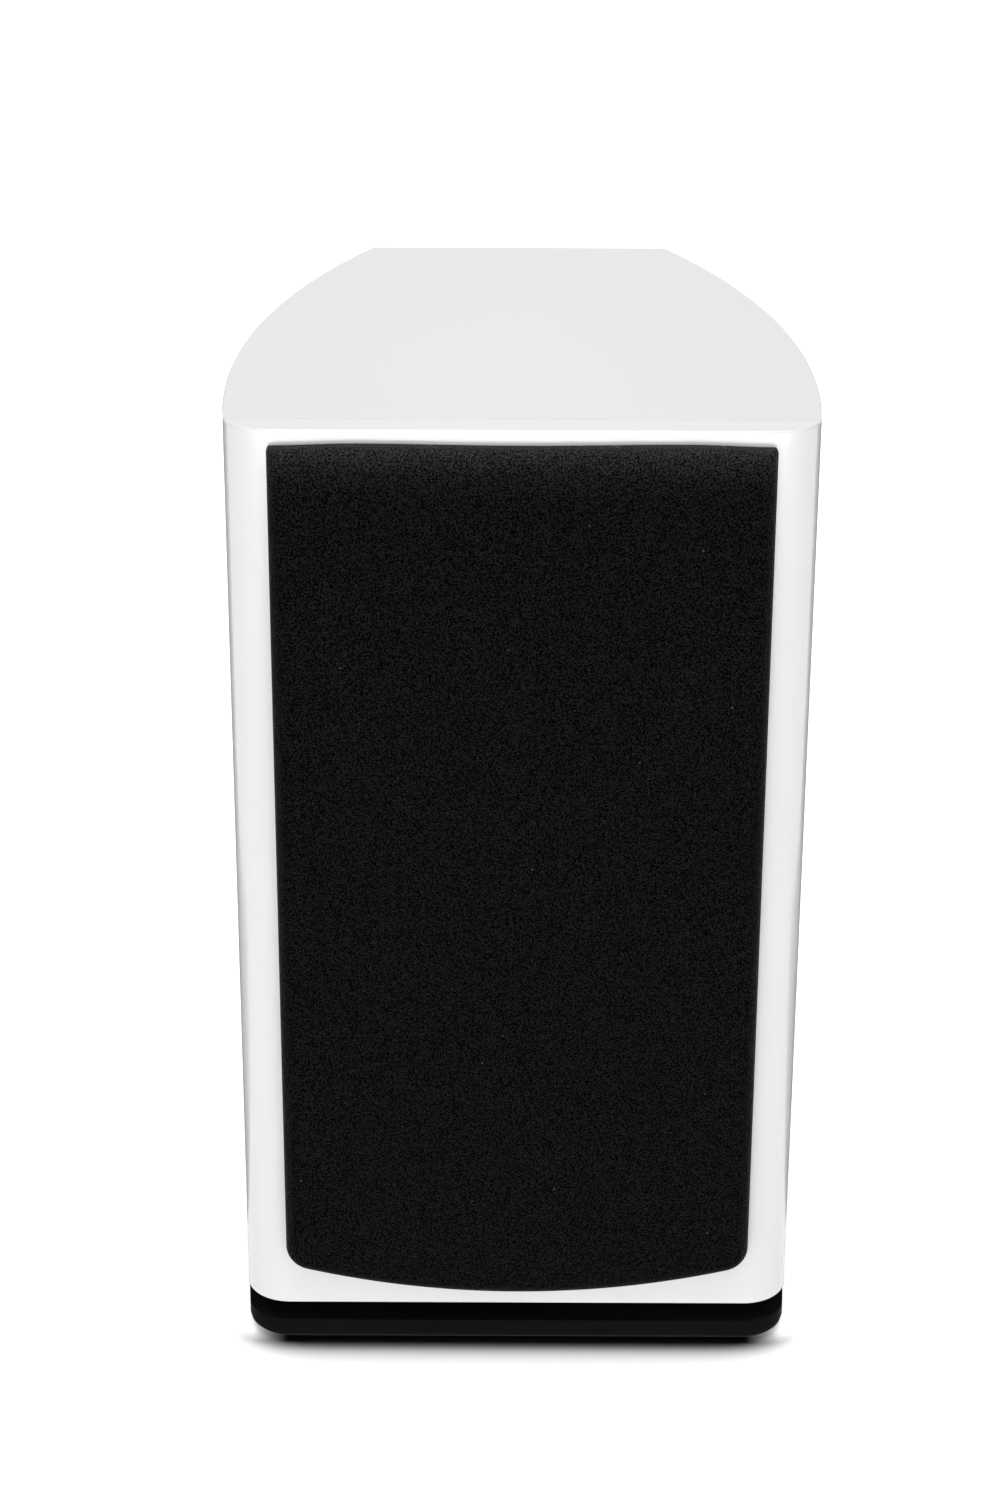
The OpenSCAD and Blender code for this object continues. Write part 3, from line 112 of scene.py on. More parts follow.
class Look:
    """One material: a Principled shader and the texture nodes that drive it. Sizes are in metres."""

    def __init__(self, name, **sockets):
        self.name = name
        self.material = bpy.data.materials.new(name)
        self.material.use_nodes = True
        self.tree = self.material.node_tree
        self.shader = self.tree.nodes["Principled BSDF"]
        for key, value in sockets.items():
            self.shader.inputs[key.replace("_", " ")].default_value = value
        self.at = self.node("ShaderNodeTexCoord").outputs["Object"]
        self.normal = None

    def node(self, kind, inputs=None, **props):
        n = self.tree.nodes.new(kind)
        for key, value in props.items():
            setattr(n, key, value)
        for key, value in (inputs or {}).items():
            if isinstance(value, bpy.types.NodeSocket):
                self.tree.links.new(value, n.inputs[key])
            else:
                n.inputs[key].default_value = value
        return n

    def set(self, key, value):
        self.tree.links.new(value, self.shader.inputs[key])

    def noise(self, size, detail=2.0, rough=0.5):
        return self.node("ShaderNodeTexNoise", {
            "Vector": self.at, "Scale": 1 / size, "Detail": detail, "Roughness": rough,
        }).outputs["Fac"]

    def cells(self, size):
        return self.node("ShaderNodeTexVoronoi", {"Vector": self.at, "Scale": 1 / size}).outputs["Distance"]

    def axis(self, name):
        return self.node("ShaderNodeSeparateXYZ", {"Vector": self.at}).outputs[name]

    def math(self, op, a, b=0.0):
        return self.node("ShaderNodeMath", {0: a, 1: b}, operation=op).outputs[0]

    def radius(self, z):
        """Distance from an axis along Y at that height."""
        x, up = self.axis("X"), self.math("SUBTRACT", self.axis("Z"), z)
        return self.math("SQRT", self.math("ADD", self.math("POWER", x, 2.0), self.math("POWER", up, 2.0)))

    def ramp(self, fac, *stops):
        n = self.node("ShaderNodeValToRGB", {"Fac": fac})
        for e, (place, color) in zip(n.color_ramp.elements, stops, strict=True):
            e.position = place
            e.color = (*color, 1) if hasattr(color, "__len__") else (color, color, color, 1)
        return n.outputs["Color"]

    def mix(self, fac, without, full):
        """One colour without the factor, the other where the factor is full."""
        return self.node("ShaderNodeMix", {0: fac, 6: without, 7: full}, data_type="RGBA").outputs[2]

    def range(self, fac, low, high, from_low=0.0, from_high=1.0):
        return self.node("ShaderNodeMapRange", {
            "Value": fac, "From Min": from_low, "From Max": from_high, "To Min": low, "To Max": high,
        }).outputs[0]

    def bump(self, height, depth, strength=1.0):
        inputs = {"Height": height, "Distance": depth, "Strength": strength}
        if self.normal:
            inputs["Normal"] = self.normal
        self.normal = self.node("ShaderNodeBump", inputs).outputs[0]
        self.set("Normal", self.normal)

    def edge(self, radius):
        """Rounds the normals at sharp edges, as a real edge is never knife-sharp."""
        self.normal = self.node("ShaderNodeBevel", {"Radius": radius}, samples=4).outputs[0]
        self.set("Normal", self.normal)

    def weave(self, pitch, a="X", b="Z"):
        """Height of a plain weave, and of each of its two sets of threads."""
        turn = 2 * math.pi / pitch
        u = self.math("SINE", self.math("MULTIPLY", self.axis(a), turn))
        v = self.math("SINE", self.math("MULTIPLY", self.axis(b), turn))
        over = self.math("GREATER_THAN", self.math("MULTIPLY", u, v), 0.0)
        warp, weft = self.math("ABSOLUTE", u), self.math("ABSOLUTE", v)
        return self.node("ShaderNodeMix", {0: over, 2: warp, 3: weft}).outputs[0], warp, weft


def grey(value):
    return (value, value, value)


def scaled(color, factor):
    return [c * factor for c in color]


def lacquer(name, color, field=False):
    rough, coat = 0.22, 0.6
    k = Look(name, Roughness=rough, IOR=1.5, Coat_Weight=coat, Coat_Roughness=0.13)
    k.edge(0.0005)
    k.bump(k.noise(0.004, 1), 0.00004, 0.25)
    tone = k.ramp(k.noise(0.09, 3), (0.3, scaled(color, 0.992)), (0.7, color))
    # the fine joint between the baffle and the rest is a little darker
    off = k.math("ABSOLUTE", k.math("SUBTRACT", k.axis("Y"), front_y + JOINT))
    joint = k.range(off, 0.0, 1.0, 0.0005, 0.0001)
    tone = k.mix(joint, tone, (*scaled(color, 0.86), 1))
    if field:
        # the field behind the grille is black
        lo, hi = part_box("grille_cloth")
        inside = k.math("LESS_THAN", k.math("ABSOLUTE", k.axis("X")), hi.x - RIM)
        under = k.math("LESS_THAN", k.axis("Z"), hi.z - RIM)
        over = k.math("LESS_THAN", k.radius(lo.z + BELLY), BELLY - RIM)
        face = k.math("LESS_THAN", k.axis("Y"), front_y + 0.0008)
        mask = k.math("MULTIPLY", k.math("MULTIPLY", inside, under), k.math("MULTIPLY", over, face))
        tone = k.mix(mask, tone, (*grey(0.012), 1))
        k.set("Roughness", k.range(mask, rough, 0.7))
        k.set("Coat Weight", k.range(mask, coat, 0.0))
    k.set("Base Color", tone)
    return k


def plastic(name, color, rough, grain=0.0006, depth=0.00003, **sockets):
    k = Look(name, **sockets)
    k.edge(0.0003)
    k.bump(k.cells(grain), depth, 0.6)
    k.set("Base Color", k.ramp(k.noise(0.03, 3), (0.3, scaled(color, 0.85)), (0.7, scaled(color, 1.1))))
    k.set("Roughness", k.range(k.noise(0.006, 3), rough - 0.08, rough + 0.08, 0.3, 0.7))
    return k


def metal(name, color, rough, spread=0.08):
    k = Look(name, Metallic=1.0)
    k.edge(0.0003)
    k.bump(k.noise(0.0008, 2), 0.00001, 0.5)
    k.set("Base Color", k.ramp(k.noise(0.02, 3), (0.3, scaled(color, 0.88)), (0.7, color)))
    k.set("Roughness", k.range(k.noise(0.004, 3), rough - spread, rough + spread, 0.3, 0.7))
    return k


def cloth(name, color, pitch, depth, rough):
    k = Look(name, Roughness=rough)
    h = k.weave(pitch)[0]
    k.bump(h, depth, 0.8)
    # painted shade with random tone: the colour is darker where the threads dip, and uneven over it
    fade = k.math("MULTIPLY", h, k.noise(0.02, 3))
    k.set("Base Color", k.ramp(fade, (0.0, scaled(color, 0.55)), (0.55, scaled(color, 1.25))))
    return k


def speaker_cloth():
    k = Look("speaker_cloth", Roughness=0.95, Specular_IOR_Level=0.0, Sheen_Weight=0.18,
             Sheen_Roughness=0.3)
    h, warp, weft = k.weave(0.0009)
    k.bump(h, 0.00012, 0.7)
    grain = k.noise(0.0006, 1, 0.5)
    fine = k.ramp(grain, (0.40, (0.0002, 0.0003, 0.0002)), (0.66, (0.0120, 0.0128, 0.0114)))
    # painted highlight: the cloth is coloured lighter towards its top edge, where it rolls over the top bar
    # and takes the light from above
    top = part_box("grille_cloth")[1].z
    painted_top_highlight = k.math("POWER", k.range(k.axis("Z"), 0.0, 1.0, top - 0.03, top - 0.001), 4.0)
    light = k.ramp(grain, (0.36, grey(0.002)), (0.66, (0.040, 0.042, 0.040)))
    lint = k.math("LESS_THAN", k.cells(0.012), 0.035)
    k.set("Base Color", k.mix(lint, k.mix(painted_top_highlight, fine, light), (0.05, 0.05, 0.045, 1)))
    hole = k.math("LESS_THAN", k.math("ADD", warp, weft), 0.28)
    k.set("Alpha", k.math("SUBTRACT", 1.0, hole))
    return k


def trim_aluminium():
    k = Look("trim_aluminium", Metallic=1.0)
    k.edge(0.0003)
    ring_pitch = 0.0005
    rings = k.math("SINE", k.math("MULTIPLY", k.radius(woofer_z), 2 * math.pi / ring_pitch))
    k.bump(rings, 0.000006, 0.5)
    k.set("Base Color", k.ramp(k.noise(0.03, 2), (0.3, (0.62, 0.62, 0.63)), (0.7, (0.72, 0.72, 0.73))))
    k.set("Roughness", k.range(k.noise(0.002, 3), 0.28, 0.4, 0.3, 0.7))
    return k


def copper(name, way, pitch):
    """Enamelled wire, wound at that pitch along that axis."""
    k = Look(name, Metallic=1.0, Roughness=0.28, Coat_Weight=0.5, Coat_Roughness=0.15)
    wire = k.math("ABSOLUTE", k.math("SINE", k.math("MULTIPLY", k.axis(way), math.pi / pitch)))
    k.bump(wire, pitch * 0.4, 0.9)
    # painted shade: the colour darkens to near black in the grooves between the turns
    k.set("Base Color", k.ramp(wire, (0.0, (0.16, 0.05, 0.02)), (0.5, (0.72, 0.30, 0.14))))
    return k


def plinth_paint():
    k = Look("plinth_paint", Specular_IOR_Level=0.008)
    k.edge(0.0012)
    k.bump(k.noise(0.0025, 2), 0.00004, 0.4)
    k.set("Base Color", k.ramp(k.noise(0.05, 3), (0.3, (0.0036, 0.004, 0.0036)),
                               (0.7, (0.0054, 0.0059, 0.0054))))
    k.set("Roughness", k.range(k.noise(0.01, 3), 0.38, 0.5, 0.3, 0.7))
    return k


def raw_fibreboard():
    k = Look("raw_fibreboard", Roughness=0.85)
    k.bump(k.noise(0.0008, 4), 0.0001, 0.6)
    k.set("Base Color", k.ramp(k.noise(0.0012, 5, 0.7), (0.35, (0.30, 0.20, 0.12)),
                               (0.65, (0.46, 0.33, 0.21))))
    return k


def foam():
    k = Look("foam", Roughness=0.95, Specular_IOR_Level=0.1)
    pores = k.cells(0.0018)
    k.bump(pores, 0.0006, 0.8)
    # painted shade: the colour is darker in the pits of the pores
    k.set("Base Color", k.ramp(pores, (0.1, (0.006, 0.006, 0.007)), (0.6, (0.035, 0.035, 0.04))))
    return k


def woven_cone():
    k = Look("woven_cone", Coat_Weight=0.25, Coat_Roughness=0.25, Roughness=0.55)
    h = k.weave(0.0042)[0]
    k.bump(h, 0.00016, 0.8)
    # painted shade with random tone: the colour is darker where the threads dip, and uneven over it
    fade = k.math("MULTIPLY", h, k.noise(0.01, 3))
    k.set("Base Color", k.ramp(fade, (0.0, (0.008, 0.008, 0.009)), (0.6, (0.05, 0.05, 0.055))))
    return k


def former_film():
    k = Look("former_film", Roughness=0.3, Transmission_Weight=0.3)
    k.bump(k.noise(0.003, 2), 0.00002, 0.3)
    k.set("Base Color", k.ramp(k.noise(0.01, 2), (0.3, (0.40, 0.20, 0.05)), (0.7, (0.55, 0.30, 0.09))))
    return k


def spider_cloth():
    k = Look("spider_cloth", Roughness=0.85)
    h = k.weave(0.0011)[0]
    k.bump(h, 0.00012, 0.8)
    # painted shade: the colour is darker where the threads dip
    k.set("Base Color", k.ramp(h, (0.2, (0.30, 0.19, 0.06)), (0.9, (0.60, 0.43, 0.17))))
    return k


def tinsel():
    k = Look("tinsel", Metallic=1.0, Roughness=0.4)
    h = k.weave(0.0006, "Y", "Z")[0]
    k.bump(h, 0.0001, 0.9)
    # painted shade: the colour is darker where the braided strands dip
    k.set("Base Color", k.ramp(h, (0.1, (0.25, 0.12, 0.06)), (0.8, (0.78, 0.52, 0.36))))
    return k


def ferrite():
    k = Look("ferrite", Roughness=0.6)
    k.edge(0.0005)
    k.bump(k.noise(0.0012, 4), 0.00006, 0.6)
    k.set("Base Color", k.ramp(k.noise(0.0015, 5, 0.7), (0.35, (0.018, 0.018, 0.02)),
                               (0.65, (0.05, 0.05, 0.055))))
    return k


def circuit_board():
    k = Look("circuit_board", Coat_Weight=0.4, Coat_Roughness=0.2, Roughness=0.45)
    tracks = k.node("ShaderNodeTexBrick", {
        "Vector": k.at, "Scale": 1.0, "Brick Width": 0.014, "Row Height": 0.006, "Mortar Size": 0.0006,
        "Color1": (0.012, 0.10, 0.04, 1), "Color2": (0.010, 0.085, 0.035, 1),
        "Mortar": (0.05, 0.20, 0.08, 1),
    })
    k.set("Base Color", tracks.outputs["Color"])
    k.bump(tracks.outputs["Fac"], 0.00004, 0.6)
    return k


def make_looks():
    """The materials of all slots, and those of the pieces that only this scene has."""
    looks = [
        lacquer("cabinet_lacquer", (0.672, 0.675, 0.685)),
        lacquer("baffle_lacquer", (0.704, 0.704, 0.708), field=True),
        plastic("black_plastic", grey(0.018), 0.55),
        plastic("port_plastic", grey(0.014), 0.42, grain=0.0012),
        plastic("faceplate_plastic", grey(0.014), 0.5, grain=0.0004, depth=0.00005),
        plastic("rubber", grey(0.012), 0.75, grain=0.0009, depth=0.00006),
        plastic("rubber_roll", grey(0.015), 0.5, grain=0.0009, depth=0.00002),
        plastic("cast_aluminium", (0.045, 0.045, 0.048), 0.55, grain=0.0009, depth=0.00012),
        plastic("nylon", (0.74, 0.73, 0.68), 0.45, Subsurface_Weight=0.1),
        plastic("film_capacitor", (0.62, 0.40, 0.07), 0.28, grain=0.004),
        plastic("ceramic", (0.74, 0.71, 0.64), 0.7, grain=0.0007, depth=0.00006),
        plastic("red_knob", (0.50, 0.012, 0.012), 0.3, grain=0.003, depth=0.00002, Coat_Weight=0.3),
        plastic("black_knob", grey(0.012), 0.3, grain=0.003, depth=0.00002, Coat_Weight=0.3),
        plastic("red_lead", (0.40, 0.012, 0.012), 0.4, grain=0.002),
        plastic("black_lead", grey(0.014), 0.4, grain=0.002),
        metal("black_steel", grey(0.05), 0.45),
        metal("zinc_steel", (0.62, 0.63, 0.65), 0.35),
        metal("brass_tags", (0.72, 0.52, 0.24), 0.35),
        metal("tinned_brass", (0.72, 0.71, 0.68), 0.3),
        metal("gold_plate", (0.86, 0.62, 0.26), 0.2, spread=0.05),
        copper("copper_winding", "Y", 0.0004),
        copper("copper_coil", "Z", 0.0011),
        cloth("dust_cap", grey(0.016), 0.0012, 0.00005, 0.6),
        cloth("silk", grey(0.012), 0.0004, 0.00002, 0.55),
        speaker_cloth(), trim_aluminium(), plinth_paint(), raw_fibreboard(), foam(), woven_cone(),
        former_film(), spider_cloth(), tinsel(), ferrite(), circuit_board(),
    ]
    materials = {look.name: look.material for look in looks}
    materials["lead_insulation"] = materials["red_lead"]
    return materials


def dress(obj, material):
    obj.data.materials.clear()
    obj.data.materials.append(material)


# ------------------------------------------------------------------ mesh helpers

def mesh_object(name, points, faces):
    mesh = bpy.data.meshes.new(name)
    mesh.from_pydata([tuple(p) for p in points], [], faces)
    return link(name, mesh)


def new_piece(name, points, faces, body, material, sharp=38):
    """A piece on a body, or on none, smooth but for bends over sharp degrees."""
    obj = mesh_object(name, points, faces)
    obj.data.validate()
    for p in obj.data.polygons:
        p.use_smooth = True
    dress(obj, material)
    if body:
        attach(obj, body)
    obj.data.set_sharp_from_angle(angle=math.radians(sharp))
    return obj


def ring_faces(rings, size, closed=False):
    """Faces between rings of points that follow each other, and from the last to the first if closed."""
    faces = []
    for i in range(rings if closed else rings - 1):
        a, b = i * size, (i + 1) % rings * size
        for j in range(size):
            k = (j + 1) % size
            faces.append((a + j, a + k, b + k, b + j))
    return faces


def turned_about(profile, centre, way, n=64):
    """A closed profile of (radius, along) in metres turned round the way 'X' or 'Z' through centre."""
    points = []
    for i in range(n):
        a = 2 * math.pi * i / n
        for r, s in profile:
            u, v = r * math.cos(a), r * math.sin(a)
            points.append(Vector(centre) + Vector((s, u, v) if way == "X" else (u, v, s)))
    return points, [(a, d, c, b) for a, b, c, d in ring_faces(n, len(profile), closed=True)]


def arc(cx, cy, r, a0, a1, n):
    turns = [math.radians(a0 + (a1 - a0) * i / n) for i in range(n + 1)]
    return [(cx + r * math.cos(a), cy + r * math.sin(a)) for a in turns]


# ------------------------------------------------------------------ eased edges

def round_edges(name, width):
    obj = nodes[name]
    weld = obj.modifiers.new("weld", "WELD")
    weld.merge_threshold = 0.00001
    bevel = obj.modifiers.new("bevel", "BEVEL")
    bevel.width, bevel.segments = width, 3
    bevel.limit_method, bevel.angle_limit = "ANGLE", math.radians(50)


def flat_first_normals(mesh, angle=38):
    """Smooth normals on the bends, exact normals on the flat faces that the bends run into."""
    limit = math.cos(math.radians(angle))
    touching = [[] for _ in mesh.vertices]
    for p in mesh.polygons:
        for v in p.vertices:
            touching[v].append(p)
    normals = []
    for p in mesh.polygons:
        for v in p.vertices:
            near = [q for q in touching[v] if q.normal.dot(p.normal) > limit]
            flat = [q for q in near if max(abs(c) for c in q.normal) > 0.99999]
            total = flat[0].normal.copy() if flat else sum((q.normal * q.area for q in near), Vector())
            normals.append(total.normalized())
    mesh.normals_split_custom_set(normals)


def outer_edges(bm, z):
    """The outline of the level face at that height, without its stretch on the baffle's joint."""
    found = []
    for edge in bm.edges:
        level = [f for f in edge.link_faces
                 if abs(f.normal.z) > 0.99 and abs(f.calc_center_median().z - z) < 0.0001]
        walls = [f for f in edge.link_faces if abs(f.normal.z) < 0.01]
        middle = (edge.verts[0].co + edge.verts[1].co) / 2
        if len(level) == 1 and len(walls) == 1 and abs(middle.y - front_y - JOINT) > 0.0002:
            if walls[0].normal.x * middle.x + walls[0].normal.y * middle.y > 0:
                found.append(edge)
    return found


def in_order(bm):
    """Points and faces of a mesh, in an order that is the same in every run."""
    verts = sorted(bm.verts, key=lambda v: tuple(v.co))
    number = {v: i for i, v in enumerate(verts)}
    faces = []
    for f in bm.faces:
        ring = [number[v] for v in f.verts]
        first = ring.index(min(ring))
        faces.append(ring[first:] + ring[:first])
    return [v.co for v in verts], sorted(faces)


def ease_board(name, look, widths):
    """A copy of a lacquered board whose outer edges at the given heights have a small radius."""
    bm = bmesh.new()
    bm.from_mesh(nodes[name].data)
    bmesh.ops.remove_doubles(bm, verts=bm.verts, dist=0.00001)
    flat = [e for e in bm.edges if all(abs(f.normal.z) > 0.99 for f in e.link_faces)]
    bmesh.ops.dissolve_limit(bm, angle_limit=0.01, verts=[], edges=flat)
    for z, width in widths:
        bmesh.ops.bevel(bm, geom=outer_edges(bm, z), offset=width, segments=4, profile=0.5,
                        affect="EDGES", clamp_overlap=False)
    obj = mesh_object(name + "_eased", *in_order(bm))
    bm.free()
    for p in obj.data.polygons:
        p.use_smooth = True
    flat_first_normals(obj.data)
    dress(obj, look)
    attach(obj, "cabinet")
    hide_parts(name)


def make_eased_edges(looks):
    small_r, front_r, top_r = 0.0006, 0.0008, 0.0005
    for name in ("resistors", "rubber_feet", "terminal_plate"):
        round_edges(name, small_r)
    low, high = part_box("front_baffle")
    ease_board("front_baffle", looks[SLOT_OF["front_baffle"]], ((high.z, front_r), (low.z, front_r)))
    ease_board("top_panel", looks[SLOT_OF["top_panel"]], ((high.z, top_r),))


# ------------------------------------------------------------------ deforming rings


def ring_piece(name, profile, z, body, look):
    """A closed profile of (radius, depth) in millimetres turned round an axis along Y at that height."""
    n = 144
    points = []
    for i in range(n):
        a = 2 * math.pi * i / n
        points += [(r * MM * math.sin(a), front_y + d * MM, z + r * MM * math.cos(a)) for r, d in profile]
    return new_piece(name, points, ring_faces(n, len(profile), closed=True), body, look)


def add_surround(name, z, look, outer_face, inner_face, lip, flange, steps):
    """A half-roll as two rings that meet at its crest: the outer one on the cabinet, the inner one on no
    body.

    Each face of the roll is the radius of its crest, the depth of its middle and its own radius. Lip and
    flange are the points between the two faces, on the moving part and on the fixed one."""
    inner = arc(*outer_face, -90, -180, steps) + lip + arc(*inner_face, -180, -90, steps)
    outer = arc(*outer_face, -90, 0, steps) + flange + arc(*inner_face, 0, -90, steps)
    roll = ring_piece(name + "_inner", inner, z, None, look)
    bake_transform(roll)
    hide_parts(name)
    ring_piece(name + "_outer", outer, z, "cabinet", look)


def make_surrounds(looks):
    # radius of the crest, radii of the roll's two faces, depth of their middle
    mid, out_r, in_r, base = 52.525, 5.825, 5.025, 1.65
    # lip on the cone and flange on the basket: radius, depths of their two faces
    lip_r, lip_front, lip_back = 44, 4.15, 4.95
    flange_r, flange_back = 62.25, 2.45
    lip = [(mid - out_r, lip_front), (lip_r, lip_front), (lip_r, lip_back), (mid - in_r, lip_back)]
    flange = [(flange_r, base), (flange_r, flange_back), (mid + in_r, flange_back)]
    add_surround("woofer_surround", woofer_z, looks["rubber_roll"], (mid, base, out_r),
                 (mid, base, in_r), lip, flange, steps=14)

    # the same for the dome's roll, whose faces start from the front and back of the silk
    mid, out_r, in_r, front, back, flange_r = 14.325, 1.575, 1.275, 4.05, 4.35, 18.9
    lip = [(mid - out_r, back), (mid - in_r, back)]
    flange = [(flange_r, front), (flange_r, back), (mid + in_r, back)]
    add_surround("tweeter_surround", tweeter_z, looks["silk"], (mid, front, out_r),
                 (mid, back, in_r), lip, flange, steps=10)


def make_spider(looks):
    """A corrugated cloth disc that rises towards the voice coil, with a flat rim on the basket."""
    # radii of its corrugated part, of the coil's former that it holds and of its rim
    outer_r, inner_r, former_r, rim_r = 37, 12.95, 12.9, 43
    rim_depth, rise, thick, waves, wave_height = 32.35, 4, 0.6, 4.5, 1.1

    def depth(r):
        t = (outer_r - r) / (outer_r - former_r)
        wave = wave_height * math.sin(math.pi * t) * math.sin(2 * math.pi * waves * t)
        return rim_depth + rise * t + wave
    n = 96
    radii = [outer_r + (inner_r - outer_r) * i / n for i in range(n + 1)]
    profile = [(rim_r, depth(outer_r))] + [(r, depth(r)) for r in radii]
    profile += [(r, depth(r) + thick) for r in reversed(radii)] + [(rim_r, depth(outer_r) + thick)]
    obj = ring_piece("woofer_spider_cloth", profile, woofer_z, None, looks["spider_cloth"])
    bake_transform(obj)
    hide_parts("woofer_spider")


# ------------------------------------------------------------------ leads

def smooth_path(route, steps=8):
    p = [Vector(q) for q in route]

    def way(i):
        if i == 0:
            return (p[1] - p[0]).normalized()
        if i == len(p) - 1:
            return (p[i] - p[i - 1]).normalized()
        return ((p[i + 1] - p[i]).normalized() + (p[i] - p[i - 1]).normalized()).normalized()
    path = []
    for i in range(len(p) - 1):
        long = (p[i + 1] - p[i]).length
        for s in range(steps):
            t = s / steps
            path.append((2 * t - 3) * t * t * (p[i] - p[i + 1]) + p[i]
                        + long * t * (1 - t) * ((1 - t) * way(i) - t * way(i + 1)))
    return path + [p[-1]]


def lead(name, route, r, look, body):
    """A round lead of radius r along (x, depth, z) points, all in millimetres."""
    sides = 12
    path = [Vector((x * MM, front_y + d * MM, z * MM)) for x, d, z in smooth_path(route)]
    points = []
    for i, c in enumerate(path):
        along = (path[min(i + 1, len(path) - 1)] - path[max(i - 1, 0)]).normalized()
        u = along.cross(Vector((1, 0, 0))).normalized()
        v = along.cross(u)
        for k in range(sides):
            a = 2 * math.pi * k / sides
            points.append(c + r * MM * (math.cos(a) * u + math.sin(a) * v))
    last = (len(path) - 1) * sides
    faces = ring_faces(len(path), sides)
    faces += [tuple(range(sides - 1, -1, -1)), tuple(range(last, last + sides))]
    return new_piece(name, points, faces, body, look, 50)


def make_leads(looks):
    lead_r, tinsel_r = 1.2, 0.6
    # the leads leave the top of the board upright
    board_top, risen = 42.6, 54.6
    for s, hue, hand in ((-1, "red", "left"), (1, "black", "right")):
        look = looks[hue + "_lead"]
        to_woofer = [(2 * s - 36, 96, board_top), (2 * s - 36, 96, risen), (2 * s - 26, 57.5, 115.5),
                     (-12 + 2.5 * s, 51.5, 175.5), (5 * s, 40, 215.5), (5 * s, 45, 231.5),
                     (5 * s, 45, 241.5)]
        to_tweeter = [(7 + 2 * s, 72, board_top), (7 + 2 * s, 72, risen), (6 + 2.5 * s, 31, 104.5),
                      (4 * s, 17.5, 122.5), (4 * s, 17.5, 132.5)]
        from_posts = [(19 * s, 270.2, 96), (19 * s, 260.2, 96), (44 * s, 203, 85), (46 * s, 172, 71),
                      (36 * s, 124, 68.6), (28 * s, 111, risen), (28 * s, 111, board_top)]
        to_cone = [(5 * s, 34, 242.5), (5 * s, 30, 242.5), (5 * s, 22.99, 246.5), (5 * s, 17.98, 257),
                   (5 * s, 13.98, 261)]
        a = lead("woofer_lead_" + hue, to_woofer, lead_r, look, "cabinet")
        lead("tweeter_lead_" + hue, to_tweeter, lead_r, look, "cabinet")
        b = lead("input_lead_" + hue, from_posts, lead_r, look, "cabinet")
        if s < 0:
            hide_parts("driver_leads")
            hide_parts("input_leads")
        t = lead("tinsel_lead_" + hand, to_cone, tinsel_r, looks["tinsel"],
                 None)
        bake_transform(t)
        if s < 0:
            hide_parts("woofer_tinsel_leads")


# ------------------------------------------------------------------ foam

def foam_slab(name, looks, corner, u, v, out, wide, long, thick):
    """A slab with an egg-crate face: corner, two ways along it and the way its bumps point."""
    corner, u, v, out = (Vector(a) for a in (corner, u, v, out))
    step, pitch, relief, round_off = 3, 21, 10, 1.2
    nu, nv = round(wide / step), round(long / step)
    pitch_u, pitch_v = wide / round(wide / pitch), long / round(long / pitch)
    points, faces = [], []

    def height(a, b):
        bump = 0.5 - 0.5 * math.cos(2 * math.pi * a / pitch_u) * math.cos(2 * math.pi * b / pitch_v)
        edge = min(a, wide - a, b, long - b)
        soft = round_off * (1 - min(edge / step, 1)) ** 2
        return thick - relief + relief * bump - soft
    for side in (0, 1):
        for j in range(nv + 1):
            for i in range(nu + 1):
                a, b = wide * i / nu, long * j / nv
                h = height(a, b) if side else 0.0
                points.append(corner + (u * a + v * b + out * h) * MM)
    row, layer = nu + 1, (nu + 1) * (nv + 1)
    flip = u.cross(v).dot(out) < 0

    def face(*f):
        faces.append(f[::-1] if flip else f)
    for j in range(nv):
        for i in range(nu):
            k = j * row + i
            face(k, k + row, k + row + 1, k + 1)
            face(layer + k, layer + k + 1, layer + k + row + 1, layer + k + row)
    for i in range(nu):
        face(i, i + 1, layer + i + 1, layer + i)
        k = nv * row + i
        face(k + 1, k, layer + k, layer + k + 1)
    for j in range(nv):
        k = j * row
        face(k + row, k, layer + k, layer + k + row)
        k = j * row + nu
        face(k, k + row, layer + k + row, layer + k)
    obj = new_piece(name, points, faces, "cabinet", looks["foam"], 50)
    return obj


def make_foam(looks):
    wide, thick = 84, 22
    left = -wide * MM / 2
    a = foam_slab("foam_back", looks, (left, front_y + 0.258, 0.2315), (1, 0, 0), (0, 0, 1), (0, -1, 0),
                  wide, 98.5, thick)
    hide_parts("damping_foam")
    foam_slab("foam_top", looks, (left, front_y + 0.090, 0.364), (1, 0, 0), (0, 1, 0), (0, 0, -1),
              wide, 156, thick)


# ------------------------------------------------------------------ crossover parts

def make_coils(looks):
    """Wound air-core coils: rows of wire between two cheeks on a core."""
    cheek, shell, inset, ease, wire_pitch = 0.0015, 0.0012, 0.001, 0.0003, 0.0011
    black = looks["black_plastic"]
    for name in ("bass_inductor", "treble_inductor"):
        lo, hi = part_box(name)
        r, h = (hi.x - lo.x) / 2, hi.z - lo.z
        centre = ((lo.x + hi.x) / 2, (lo.y + hi.y) / 2, lo.z)
        wall, hole, top = r - inset, r * 0.35, h - cheek
        rows = round((top - cheek) / wire_pitch)
        wire = (top - cheek) / rows
        outer = []
        for i in range(rows):
            outer += arc(wall - wire / 2, cheek + wire * (i + 0.5), wire / 2, -75, 75, 5)
        points, faces = turned_about([(hole + shell, cheek)] + outer + [(hole + shell, top)], centre, "Z")
        obj = new_piece(name + "_wire", points, faces, "cabinet", looks["copper_coil"], 70)
        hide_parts(name)
        for part, z0, z1 in (("low_cheek", 0.0, cheek), ("top_cheek", top, h)):
            profile = [(hole, z0), (r - ease, z0), (r, z0 + ease), (r, z1 - ease), (r - ease, z1), (hole, z1)]
            points, faces = turned_about(profile, centre, "Z")
            new_piece(name + "_" + part, points, faces, "cabinet", black)
        profile = [(hole, cheek), (hole + shell, cheek), (hole + shell, top), (hole, top)]
        points, faces = turned_about(profile, centre, "Z")
        new_piece(name + "_core", points, faces, "cabinet", black)


